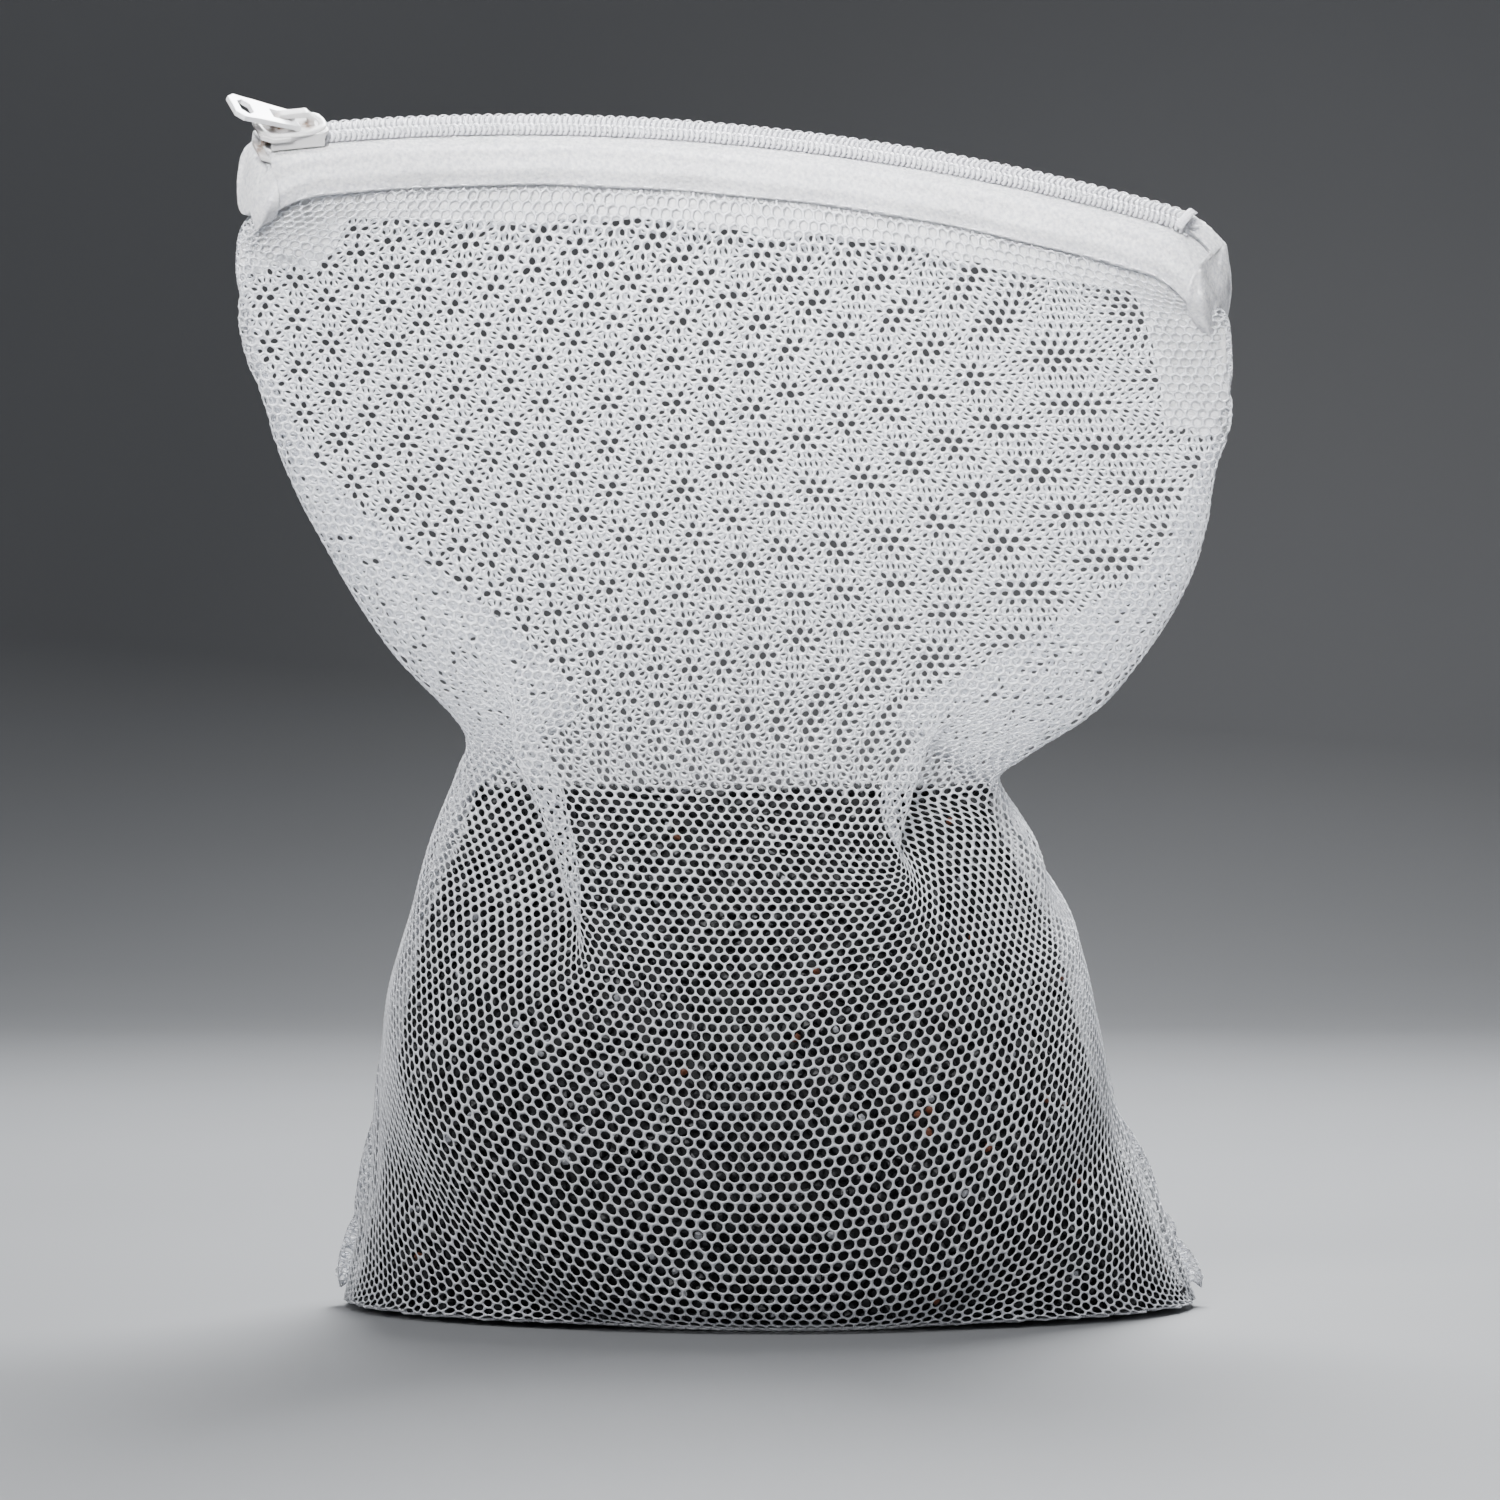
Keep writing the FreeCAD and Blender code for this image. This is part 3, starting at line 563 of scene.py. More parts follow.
def net_cells(u_range, v_range, tilt, region):
    """The net's cells over a flat region: points, their heights and faces. Each has a round hole."""
    corner = PITCH / math.sqrt(3)
    middle = np.array([WIDTH / 2, DEPTH / 2])
    reach = int(400 / PITCH)
    a, b = np.meshgrid(np.arange(-reach, reach), np.arange(-reach, reach), indexing="ij")
    centres = np.stack([PITCH * (a + 0.5 * (b % 2)), ROW_PITCH * b], -1).reshape(-1, 2)
    turn = np.array([[math.cos(tilt), math.sin(tilt)], [-math.sin(tilt), math.cos(tilt)]])
    flat = centres @ turn + middle
    (u0, u1), (v0, v1) = u_range, v_range
    kept = (flat[:, 0] >= u0) & (flat[:, 0] < u1) & (flat[:, 1] >= v0) & (flat[:, 1] < v1)
    centres = centres[kept]
    count = len(centres)
    angles = np.radians(30.0) * np.arange(12)
    radii = np.where(np.arange(12) % 2, corner, PITCH / 2)
    rim = centres[:, None] + np.stack([np.cos(angles) * radii, np.sin(angles) * radii], -1)
    keys = np.round(rim * 1000).astype(np.int64)
    keys = keys[..., 0] * 10_000_019 + keys[..., 1]  # one number for each place
    _, first, shared = np.unique(keys, return_index=True, return_inverse=True)
    shared = shared.reshape(count, 12)
    rim = rim.reshape(-1, 2)[first]
    rim_height = np.where(first % 12 % 2 == 1, YARN_CORNER, YARN_SIDE)
    u, v = flat[kept].T
    stretched = HOLE + STRETCHED * np.clip((STRETCH_FROM - v) / STRETCH_OVER, 0, 1)
    drawn = sum(np.exp(-((u - at[0]) / at[2]) ** 2 - ((v - at[1]) / at[3]) ** 2) for at in DRAWN_IN)
    narrow = (1 - DRAWN_SHARE * drawn)[:, None]
    size = stretched[:, None] * (1 + 0.05 * RNG.standard_normal((count, 1)).clip(-2, 2))
    tall = 1.05 + 0.03 * RNG.standard_normal((count, 1)).clip(-2, 2)
    lean = 0.06 * RNG.standard_normal((count, 1)).clip(-2, 2)
    hole = centres[:, None] + np.stack([
        np.cos(angles) * size * narrow + lean * np.sin(angles), np.sin(angles) * size * tall
    ], -1)
    hole, rim = (uneven(points) @ turn + middle for points in (hole.reshape(-1, 2), rim))
    rims = len(rim)
    flat = np.concatenate([hole, rim, rim])
    flat = np.stack([flat[:, 0].clip(*region[0]), flat[:, 1].clip(*region[1])], -1)
    height = np.concatenate([np.zeros(len(hole)), rim_height, -rim_height])
    inner = np.arange(12 * count).reshape(count, 12)
    inner_next = np.roll(inner, -1, axis=1)
    outer, outer_next = shared + 12 * count, np.roll(shared, -1, axis=1) + 12 * count
    quads = np.concatenate([
        np.stack([inner, outer, outer_next, inner_next], -1).reshape(-1, 4),
        np.stack([inner, inner_next, outer_next + rims, outer + rims], -1).reshape(-1, 4),
    ])
    pairs = np.stack([shared, np.roll(shared, -1, axis=1)], -1).reshape(-1, 2)
    ordered = np.sort(pairs, axis=1)
    _, place, uses = np.unique(ordered[:, 0] * rims + ordered[:, 1], return_index=True, return_counts=True)
    edge = pairs[place[uses == 1]] + 12 * count
    walls = np.stack([edge[:, 1], edge[:, 0], edge[:, 0] + rims, edge[:, 1] + rims], -1)
    quads = np.concatenate([quads, walls])
    return flat, height, quads


def net_piece(name, side, u_range, v_range, tilt, offset=0.0, region=((0, WIDTH), (0, DEPTH))):
    """A piece of a panel, with its flat size and the area of its yarn."""
    flat, height, quads = net_cells(u_range, v_range, tilt, region)
    used, quads = np.unique(quads, return_inverse=True)
    quads = quads.reshape(-1, 4)
    flat, height = flat[used], height[used]
    if side < 0:
        quads = quads[:, ::-1]
    points = on_net(side, flat[:, 0], flat[:, 1], height + offset)
    low, high = flat.min(0), flat.max(0)
    piece = make_piece(name, points, [quads], "bag", "net", NET_MATERIAL, flat=(flat - low) / (high - low))
    here, there = flat[quads], np.roll(flat[quads], -1, axis=1)
    doubled = np.abs((here[..., 0] * there[..., 1] - here[..., 1] * there[..., 0]).sum(1)).sum()
    return piece, high - low, doubled / 4  # the yarn has an upper and a lower side


# The seam allowances, folded flat against the inside of the front.
ALLOWANCE, ALLOWANCE_TILT, ALLOWANCE_DEPTH = 4.6, math.radians(4.0), -0.55
ALLOWANCE_V = (2, 272)
allowances = {
    name: net_piece(f"seam_allowance_{name}", 1, u_range, ALLOWANCE_V, ALLOWANCE_TILT, ALLOWANCE_DEPTH,
                    (u_range, ALLOWANCE_V))[0]
    for name, u_range in (("left", (0, ALLOWANCE)), ("right", (WIDTH - ALLOWANCE, WIDTH)))
}

# The two panels, each in four pieces. A piece's flat area is that of its yarn, without the holes.
FRONT_TILT, BACK_TILT = 0.0, math.radians(13.0)
SPLIT_U, SPLIT_V = WIDTH / 2, 140.0
for side, side_name, tilt in ((1, "front", FRONT_TILT), (-1, "back", BACK_TILT)):
    for u_range, u_name in (((-1, SPLIT_U), "left"), ((SPLIT_U, WIDTH + 1), "right")):
        for v_range, v_name in (((-1, SPLIT_V), "lower"), ((SPLIT_V, DEPTH + 1), "upper")):
            panel, (width, length), yarn = net_piece(
                f"net_{side_name}_{v_name}_{u_name}", side, u_range, v_range, tilt
            )
            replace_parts(panel, f"net_{side_name}" if v_name == "upper" else "net_base")


# ---------------------------------------------------------------- the fill

GRAIN_SPOTS, GRAIN_GAP = 90_000, 1.95
HEAP_INSET = 1.9
# How far a grain may reach over the heap's surface.
GRAIN_OVER = 0.35


def heap_and_spots():
    """The dark heap's points and triangles, and the spots on its surface where grains lie."""
    node = frame["nodes"]["granular_fill"].data
    node.calc_loop_triangles()
    points = np.array([vertex.co for vertex in node.vertices]) / MM
    triangles = np.array([list(t.vertices) for t in node.loop_triangles])
    corners = points[triangles]
    normals = np.cross(corners[:, 1] - corners[:, 0], corners[:, 2] - corners[:, 0])
    areas = np.linalg.norm(normals, axis=1) / 2
    normals /= 2 * areas[:, None] + 1e-12
    chosen = RNG.choice(len(triangles), GRAIN_SPOTS, p=areas / areas.sum())
    s, t = RNG.random((2, len(chosen), 1))
    over = s + t > 1
    s, t = np.where(over, 1 - s, s), np.where(over, 1 - t, t)
    spots = corners[chosen, 0] * (1 - s - t) + corners[chosen, 1] * s + corners[chosen, 2] * t
    kept = apart(spots, GRAIN_GAP)
    return points, triangles, spots[kept], normals[chosen][kept]


def apart(spots, distance):
    """The indices of points that keep a distance from each other, taken in order."""
    taken, kept = {}, []
    cells = np.floor(spots / distance).astype(int)
    for n, (cell, spot) in enumerate(zip(map(tuple, cells), spots)):
        near = (
            taken.get((cell[0] + i, cell[1] + j, cell[2] + k), ())
            for i in (-1, 0, 1) for j in (-1, 0, 1) for k in (-1, 0, 1)
        )
        if any(sum((spot - other) ** 2) < distance**2 for group in near for other in group):
            continue
        taken.setdefault(cell, []).append(spot)
        kept.append(n)
    return np.array(kept)


def icosahedron():
    """The points and faces of a regular icosahedron of radius one."""
    golden = (1 + math.sqrt(5)) / 2
    points = np.array([(-1, golden, 0), (1, golden, 0), (-1, -golden, 0), (1, -golden, 0)])
    points = np.concatenate([points, np.roll(points, 1, axis=1), np.roll(points, 2, axis=1)])
    points = unit(points)
    edge = min(np.linalg.norm(points[0] - p) for p in points[1:])
    close = np.linalg.norm(points[:, None] - points[None], axis=-1) < edge * 1.01
    faces = []
    for a in range(12):
        for b in range(a + 1, 12):
            for c in range(b + 1, 12):
                if close[a, b] and close[b, c] and close[a, c]:
                    turned = np.linalg.det(points[[a, b, c]]) > 0
                    faces.append((a, b, c) if turned else (a, c, b))
    return points, np.array(faces)


def grain_shapes(spots, out, sizes):
    """A faceted grain at each spot, sunk in so that it just reaches the surface."""
    points, faces = icosahedron()
    count = len(spots)
    turns = np.linalg.qr(RNG.standard_normal((count, 3, 3)))[0]
    stretch = RNG.uniform(0.72, 1.12, (count, 1, 3))
    shapes = points[None] * (1 + 0.2 * RNG.uniform(-1, 1, (count, 12, 1))) * stretch
    shapes = np.einsum("nij,nkj->nki", turns, shapes) * sizes[:, None, None]
    flipped = np.linalg.det(turns) < 0
    centres = spots - out * (sizes[:, None] * RNG.uniform(0.75, 1.15, (count, 1)))
    shapes = shapes + centres[:, None]
    over = ((shapes - spots[:, None]) @ out[..., None])[..., 0] - GRAIN_OVER
    shapes -= np.clip(over, 0, None)[..., None] * out[:, None]
    index = faces[None] + 12 * np.arange(count)[:, None, None]
    index[flipped] = index[flipped][..., ::-1]
    return shapes.reshape(-1, 3), [index.reshape(-1, 3)]


heap_points, heap_faces, spots, outward = heap_and_spots()
heap_normals = np.array([vertex.normal for vertex in frame["nodes"]["granular_fill"].data.vertices])
heap_points = heap_points - heap_normals * HEAP_INSET
heap = make_piece("heap", heap_points, [heap_faces], "bag", "granules", HEAP_MATERIAL)
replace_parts(heap, "granular_fill")
# Each kind of grain has a share of the spots, from low to high, and a range of sizes.
PALE_FROM, RUSTY_FROM = 0.972, 0.995
kinds = RNG.random(len(spots))
for name, material, low, high, size in (
    ("grains_dark", GRAIN_MATERIAL, 0.0, PALE_FROM, (1.05, 1.5)),
    ("grains_pale", SPARK_MATERIAL, PALE_FROM, RUSTY_FROM, (0.75, 1.05)),
    ("grains_rusty", RED_MATERIAL, RUSTY_FROM, 1.0, (0.8, 1.1)),
):
    chosen = (kinds >= low) & (kinds < high)
    shapes, faces = grain_shapes(spots[chosen], outward[chosen], RNG.uniform(*size, chosen.sum()))
    make_piece(name, shapes, faces, "bag", "granules", material, smooth=False)


# ---------------------------------------------------------------- the zip

FINE = 0.05


def lengths_along(line):
    """The distance along a line at each of its points."""
    return np.r_[0, np.cumsum(np.linalg.norm(np.diff(line, axis=0), axis=1))]


def places_along(line, at):
    """The points of a line at given distances along it."""
    length = lengths_along(line)
    return np.stack([np.interp(at, length, line[:, axis]) for axis in range(2)], 1)


def rounded_line(points, window, step):
    """An even line along a corner path, its corners rounded over a window."""
    points = np.array(points, float)
    line = places_along(points, np.arange(0, lengths_along(points)[-1] + FINE, FINE))
    reach = int(window / (2 * FINE))
    padded = np.concatenate([
        2 * line[0] - line[reach:0:-1], line, 2 * line[-1] - line[-2:-reach - 2:-1]
    ])
    kernel = np.hanning(2 * reach + 3)[1:-1]
    kernel /= kernel.sum()
    line = np.stack([np.convolve(padded[:, axis], kernel, "valid") for axis in range(2)], 1)
    total = lengths_along(line)[-1]
    even = np.linspace(0, total, int(total / step) + 1)
    return places_along(line, even), even


TAPE_GRID, CORNER_WINDOW = 0.3, 2.0
WEFT = 0.95  # the spacing of the tape's weave
TAPE_THICK = 0.27  # half its thickness


def tape_half(name, side, path, node):
    """One half of the zip's tape: ribbed by the chain, with a cord in its fold and a plain skirt."""
    line, s = rounded_line(path, CORNER_WINDOW, TAPE_GRID)
    slope = unit(np.gradient(line, axis=0))
    square = np.stack([-slope[:, 1], slope[:, 0]], 1) * (-side)
    stations = int(2 * TAPE_HALF * ZIP_RADIUS / TAPE_GRID)
    angles = np.linspace(TAPE_HALF, -TAPE_HALF, stations)
    along = angles[:, None] * ZIP_RADIUS
    total = s[-1]
    skirt = np.clip((s - FOLD) / (total - FOLD), 0, 1)
    ribs = 0.08 * np.sin(2 * np.pi * (along / WEFT + s / 1.3))
    over_under = np.sin(2 * np.pi * s / WEFT + np.pi * np.round(along / WEFT))
    weave = 0.1 * np.sin(2 * np.pi * along / WEFT) * over_under
    weave = weave + 0.07 * RNG.standard_normal(np.broadcast_shapes(along.shape, s.shape)).clip(-2, 2)
    slack = 0.2 * (np.sin(along / 9.3 + s / 4.1 + side) + 0.6 * np.sin(along / 4.4 - s / 2.9))
    ribbed = 1 / (1 + np.exp((s - FOLD + 0.8) * 4))
    relief = ribs * ribbed + weave * (1 - 0.6 * ribbed) + slack * skirt
    cord = 0.3 * np.exp(-((s - FOLD - 0.5) / 0.9) ** 2) * (1 + 0.3 * np.sin(along / 7.7 + side))
    hem = 0.1 * np.exp(-((s - total + 0.6) / 0.5) ** 4)
    half = TAPE_THICK + np.where(s < 0.4, -0.1 * (0.4 - s) / 0.4, 0) + np.where(s > total - 0.3, -0.1, 0)
    outside = half + cord + hem + relief
    inside = half + 0.6 * relief
    shift = skirt_wave(angles, side)[:, None] * skirt**1.5 * (-side)
    layers = []
    for sign, reach in ((1, outside), (-1, inside)):
        across = line[:, 0] + sign * square[:, 0] * reach + shift
        up = line[:, 1] + sign * square[:, 1] * reach
        layers.append(on_zip(angles[:, None], across, up))
    loop = np.concatenate([layers[0], layers[1][:, ::-1]], axis=1)
    piece = make_piece(name, *ring_shape(loop), "bag", "tape", TAPE_MATERIAL)
    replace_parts(piece, node)


def ring_shape(rings):
    """The points and faces of flattened rings, with the first and last ring closed by strips."""
    count, sides = rings.shape[:2]
    n = np.arange(sides // 2 - 1)
    strip = np.stack([n, sides - 1 - n, sides - 2 - n, n + 1], -1)
    last = (count - 1) * sides
    return rings.reshape(-1, 3), [np.concatenate([wrapped(count, sides), strip, last + strip[:, ::-1]])]


# A half's section starts in the chain's middle, and its fold stands a little outside the net.
TAPE_START, TAPE_MIDDLE = 0.72, -0.6
OUTER_FOLD = FOLD + 0.36
front_path = [
    (-TAPE_START, TAPE_MIDDLE), (-OUTER_FOLD, TAPE_MIDDLE),
    (-OUTER_FOLD - 0.2 - ROLL_FROM * SKIRT_LEAN, SKIRT_TOP - ROLL_FROM),
    (-OUTER_FOLD - FRONT_DROP * SKIRT_LEAN + ROLL_IN, FRONT_HEM - ROLL_DOWN),
]
back_path = [
    (TAPE_START, TAPE_MIDDLE), (OUTER_FOLD, TAPE_MIDDLE), (OUTER_FOLD, SKIRT_TOP - BACK_SQUARE),
    (OUTER_FOLD - BACK_DROP * SKIRT_LEAN, SKIRT_TOP - BACK_SQUARE - BACK_DROP),
]
tape_half("tape_front", 1, front_path, "front_tape")
tape_half("tape_back", -1, back_path, "back_tape")

# The outline of the folded end at each side: over the tape's section and round below it.
END_OUTLINE = np.array([
    (-5.2, -13.6), (-8.6, -9.2), (-9.9, -4.9), (-7.6, -1.5), (-5.2, -0.35), (0.0, -0.3), (5.2, -0.35),
    (6.6, -1.0), (6.9, -4.2), (4.9, -8.4), (2.0, -12.6), (-1.5, -15.8),
])
END_LOW = np.array([-1.5, -14.2])  # where it draws together
# How far it lies below the slider, over which half width, and how gradually it rises beside it.
UNDER_SLIDER, UNDER_HALF, UNDER_MARGIN = 2.9, 5.8, 2.0
# How far it bulges past the tape, and the depth from which it does so fully.
END_REACH, FULL_REACH_DEPTH = math.radians(1.2), 3.5
END_START = 0.003  # the angle by which it overlaps the tape
LINING = 0.0015  # the angle between its two sides


def tape_end(name, sign):
    """The tape's folded end: it closes the corner beside the chain and runs down to the seam."""
    keys = np.arange(-3, len(END_OUTLINE) + 3)
    around = np.linspace(0, len(END_OUTLINE), 150)[:-1]
    ring = smooth_line(keys.astype(float), END_OUTLINE[keys % len(END_OUTLINE)], around)
    if sign > 0:  # it passes under the slider
        under = UNDER_SLIDER * (1 - np.clip((np.abs(ring[:, 0]) - UNDER_HALF) / UNDER_MARGIN, 0, 1))
        ring[:, 1] = np.minimum(ring[:, 1], -under)
    lift = np.linspace(0, math.pi / 2, 30)[:, None]
    shrink = np.cos(lift) ** 0.9 * 0.97 + 0.03
    phase = 2 * np.pi * np.arange(len(ring)) / len(ring)
    creases = 0.05 * np.sin(4 * phase + 5 * lift + sign) + 0.03 * np.sin(9 * phase - 6 * lift)
    creases = creases + 0.008 * RNG.standard_normal(creases.shape).clip(-2, 2)
    scale = shrink * (1 + creases * np.minimum(1, 3 * lift))
    across = END_LOW[0] + (ring[:, 0] - END_LOW[0]) * scale
    up = END_LOW[1] + (ring[:, 1] - END_LOW[1]) * scale * (shrink if sign > 0 else 1)
    reach = END_REACH * (0.45 + 0.55 * np.clip(-up / FULL_REACH_DEPTH, 0, 1))
    angle = sign * (TAPE_HALF - END_START + (reach + END_START) * np.sin(lift))
    outer = on_zip(angle, across, up)
    inner = on_zip(angle - sign * LINING, END_LOW[0] + (across - END_LOW[0]) * 0.95,
                   END_LOW[1] + (up - END_LOW[1]) * 0.95)
    rows, count = outer.shape[:2]
    quads = wrapped(rows, count)
    rim, rim_next = np.arange(count), (np.arange(count) + 1) % count
    size = rows * count
    lip = np.stack([rim_next, rim, rim + size, rim_next + size], -1)
    pole = (rows - 1) * count + np.arange(count)[None, :]
    faces = [
        np.concatenate([quads, quads[:, ::-1] + size, lip]), np.concatenate([pole, pole[:, ::-1] + size])
    ]
    if sign > 0:
        faces = [block[:, ::-1] for block in faces]
    points = np.concatenate([outer.reshape(-1, 3), inner.reshape(-1, 3)])
    make_piece(name, points, faces, "bag", "tape", TAPE_MATERIAL)


tape_end("tape_end_left", 1)
tape_end("tape_end_right", -1)

# The coils: a flattened spiral of monofilament on each half, half a turn apart.
COIL_PITCH = 1.12
COIL_MIDDLE, COIL_HALF = (1.75, 0.85), (1.0, 0.76)
COIL_SLANT = 0.55
COIL_WIRE, COIL_STEPS = 0.36, 16
# The filler cord inside a coil: three strands laid together.
STRANDS, STRAND, STRAND_TURN = 3, 0.26, 2.6
STRAND_HALF = (0.3, 0.17)
# The thread that holds a coil down on the tape, beside the chain and on top of the coil.
COIL_THREAD, COIL_THREAD_PLACE = 0.1, (2.15, 1.97)


def coil_path(side, shift):
    """The line of a coil's wire, shifted along the chain by a share of its pitch."""
    turns = int(2 * CHAIN_HALF * ZIP_RADIUS / COIL_PITCH)
    phase = np.arange(turns * COIL_STEPS) * 2 * np.pi / COIL_STEPS
    flat_cos, flat_sin = (np.sign(w) * np.abs(w) ** 0.72 for w in (np.cos(phase), np.sin(phase)))
    across = COIL_MIDDLE[0] + COIL_HALF[0] * flat_cos
    up = COIL_MIDDLE[1] + COIL_HALF[1] * flat_sin
    along = (phase / (2 * np.pi) + shift) * COIL_PITCH - CHAIN_HALF * ZIP_RADIUS + COIL_SLANT * flat_cos
    return on_zip(-along / ZIP_RADIUS, side * across, up)


for side, name, shift in ((-1, "front", 0.0), (1, "back", 0.5)):
    wire = tube(coil_path(side, shift), COIL_WIRE, 7)
    stand_in(f"coil_{name}", wire, "coil", COIL_MATERIAL, f"{name}_coil")
    angles = np.linspace(CHAIN_HALF, -CHAIN_HALF, 620)
    strands = []
    for strand in range(STRANDS):
        turn = angles * ZIP_RADIUS * 2 * np.pi / STRAND_TURN + strand * 2 * np.pi / STRANDS
        across = side * COIL_MIDDLE[0] + STRAND_HALF[0] * np.cos(turn)
        strands.append(tube(on_zip(angles, across, COIL_MIDDLE[1] + STRAND_HALF[1] * np.sin(turn)), STRAND))
    stand_in(f"cord_{name}", joined(strands), "cord", CORD_MATERIAL, f"{name}_coil_cord")
    angles = np.linspace(CHAIN_HALF - 0.002, -CHAIN_HALF + 0.002, 1500)
    turn = angles * ZIP_RADIUS * np.pi / COIL_PITCH
    across = side * (COIL_THREAD_PLACE[0] + 0.42 * np.sin(turn))
    thread = tube(on_zip(angles, across, COIL_THREAD_PLACE[1] + 0.05 * np.cos(2 * turn)), COIL_THREAD, 5)
    make_piece(f"coil_thread_{name}", *thread, "bag", "thread", THREAD_MATERIAL)


# ---------------------------------------------------------------- stitches

STITCHES, STITCH, STITCH_SHARE, STITCH_SAG = 54, 0.14, 0.66, 0.2
HEM_END = TAPE_HALF - 0.017
SKIRT_OUT = unit((-1.0, SKIRT_LEAN))


def front_hem(angle, lift):
    """A point of the front hem's stitching, lifted off the cloth."""
    across = -FOLD - FRONT_DROP * SKIRT_LEAN + ROLL_IN * 0.5 - 0.66 - skirt_wave(angle, 1)
    return on_zip(angle, across + SKIRT_OUT[0] * lift, FRONT_HEM + SKIRT_OUT[1] * lift)


def back_hem(angle, lift):
    """The same for the back, where the stitching runs along the square part of the skirt."""
    return on_zip(angle, FOLD + 0.77 + lift + skirt_wave(angle, -1) * 0.05, np.full_like(angle, -3.0))


for name, place in (("front", front_hem), ("back", back_hem)):
    stitch = np.linspace(-1, 1, 9)
    lift = STITCH_SAG * (1 - np.abs(stitch) ** 3) - STITCH_SAG * 0.55
    stitches = []
    for n in range(STITCHES):
        t = (n + 0.5 + stitch / 2 * STITCH_SHARE) / STITCHES
        stitches.append(tube(place((1 - 2 * t) * HEM_END, lift), STITCH))
    stand_in(f"hem_stitches_{name}", joined(stitches), "thread", THREAD_MATERIAL, f"{name}_tape_stitches")

# An overlock thread wound over each side seam, from the base to the tape.
SEAM_TURNS, SEAM_V, SEAM_LENGTH, SEAM_THREAD = 104, 0.8, 266.2, 0.13
SEAM_MIDDLE, SEAM_HALF = 0.55, (0.6, 0.4)
for name, edge_u, inner_u in (("left", 0.0, 2.2), ("right", WIDTH, WIDTH - 2.2)):
    t = np.linspace(0, 1, SEAM_TURNS * 10)
    v = SEAM_V + SEAM_LENGTH * t
    seam = on_net(1, np.full_like(v, edge_u), v)
    front, back = (on_net(side, np.full_like(v, inner_u), v) for side in (1, -1))
    inward = unit((front + back) / 2 - seam)
    square = unit(np.cross(unit(np.gradient(seam, axis=0)), inward))
    turn = (t * SEAM_TURNS * 2 * np.pi)[:, None]
    path = seam + inward * (SEAM_MIDDLE - SEAM_HALF[0] * np.cos(turn)) + square * SEAM_HALF[1] * np.sin(turn)
    thread = tube(path, SEAM_THREAD)
    stand_in(f"seam_thread_{name}", thread, "thread", THREAD_MATERIAL, f"{name}_seam_stitches")

# The bar tack across the chain's closed end: loops of thread side by side, and one laid over them.
TACK_ANGLE = -CHAIN_HALF + 1.2 / ZIP_RADIUS
TACK_LOOPS, TACK_PITCH, TACK_HALF, TACK_TOP = 7, 0.24, 4.3, 2.35
across = np.linspace(-1, 1, 15)
bars = []
for n in range(TACK_LOOPS):
    angle = TACK_ANGLE + (n - TACK_LOOPS // 2) * TACK_PITCH / ZIP_RADIUS
    up = TACK_TOP - 0.5 * np.abs(across) ** 4 + 0.03 * (n % 2)
    bars.append(tube(on_zip(np.full_like(across, angle), TACK_HALF * across, up), 0.17))
across = np.linspace(-1, 1, 60)
angle = TACK_ANGLE + 0.8 * np.sin(across * 40) / ZIP_RADIUS
bars.append(tube(on_zip(angle, 4.0 * across, 2.5 - 0.4 * np.abs(across) ** 4), 0.12, 5))
stand_in("bar_tack", joined(bars), "thread", THREAD_MATERIAL, "end_tack")


# ---------------------------------------------------------------- the tape's folded ends

TAIL_GRID = 0.5
TAIL_THICK = 0.16  # half a tail's thickness


def tape_tail(name, side, u_range, v_range, offset, seed):
    """A part of a tape half that lies inside the pouch, folded down against the net."""
    (u0, u1), (v0, v1) = u_range, v_range
    columns, rows = int((u1 - u0) / TAIL_GRID), int((v1 - v0) / TAIL_GRID)
    a, b = np.meshgrid(np.linspace(0, 1, columns), np.linspace(0, 1, rows), indexing="ij")
    ragged = 1.3 * np.sin(a * 5 + seed) + 0.6 * np.sin(a * 23 + seed) + 0.35 * np.sin(a * 71 + 2 * seed)
    side_wave = 0.5 * np.sin(b * 6 + seed) + 0.15 * np.sin(b * 31 + seed)
    u = u0 + side_wave * (1 - a) + (u1 - u0) * a
    v = v0 + ragged * (1 - b) ** 2 + (v1 - v0) * b
    weave = 0.05 * np.sin(u * 7.0) * np.sin(v * 7.0) + 0.25 * np.sin(u * 0.5 + v * 0.21 + seed)
    front, back = (on_net(side, u, v, offset + weave + thick) for thick in (TAIL_THICK, -TAIL_THICK))
    count = columns * rows
    i, k = np.meshgrid(np.arange(columns - 1), np.arange(rows - 1), indexing="ij")
    n = i * rows + k
    quads = np.stack([n, n + rows, n + rows + 1, n + 1], -1).reshape(-1, 4)
    border = np.concatenate([
        np.arange(rows), np.arange(1, columns) * rows + rows - 1,
        (columns - 1) * rows + np.arange(rows - 2, -1, -1), np.arange(columns - 2, 0, -1) * rows,
    ])
    following = np.roll(border, -1)
    walls = np.stack([border, following, following + count, border + count], -1)
    faces = np.concatenate([quads, quads[:, ::-1] + count, walls])
    if side < 0:
        faces = faces[:, ::-1]
    points = np.concatenate([front.reshape(-1, 3), back.reshape(-1, 3)])
    # The tails take the paler tape copy: painted light against the shade behind the net.
    piece = make_piece(name, points, [faces], "bag", "tape", INNER_TAPE_PAINTED_LIGHT_MATERIAL)


tape_tail("tape_inner_edge", 1, (3, 197), (274.3, 285), -0.62, 5.2)
tape_tail("tape_tail_right_front", 1, (183, 199), (240, 284), -0.7, 1.0)
tape_tail("tape_tail_right_back", -1, (185, 199), (246, 284), -0.7, 2.3)
tape_tail("tape_tail_left_front", 1, (1, 20), (263, 284), -0.7, 3.1)
tape_tail("tape_tail_left_back", -1, (1, 17), (258, 284), -0.7, 4.4)


# ---------------------------------------------------------------- the slider and its pull tab

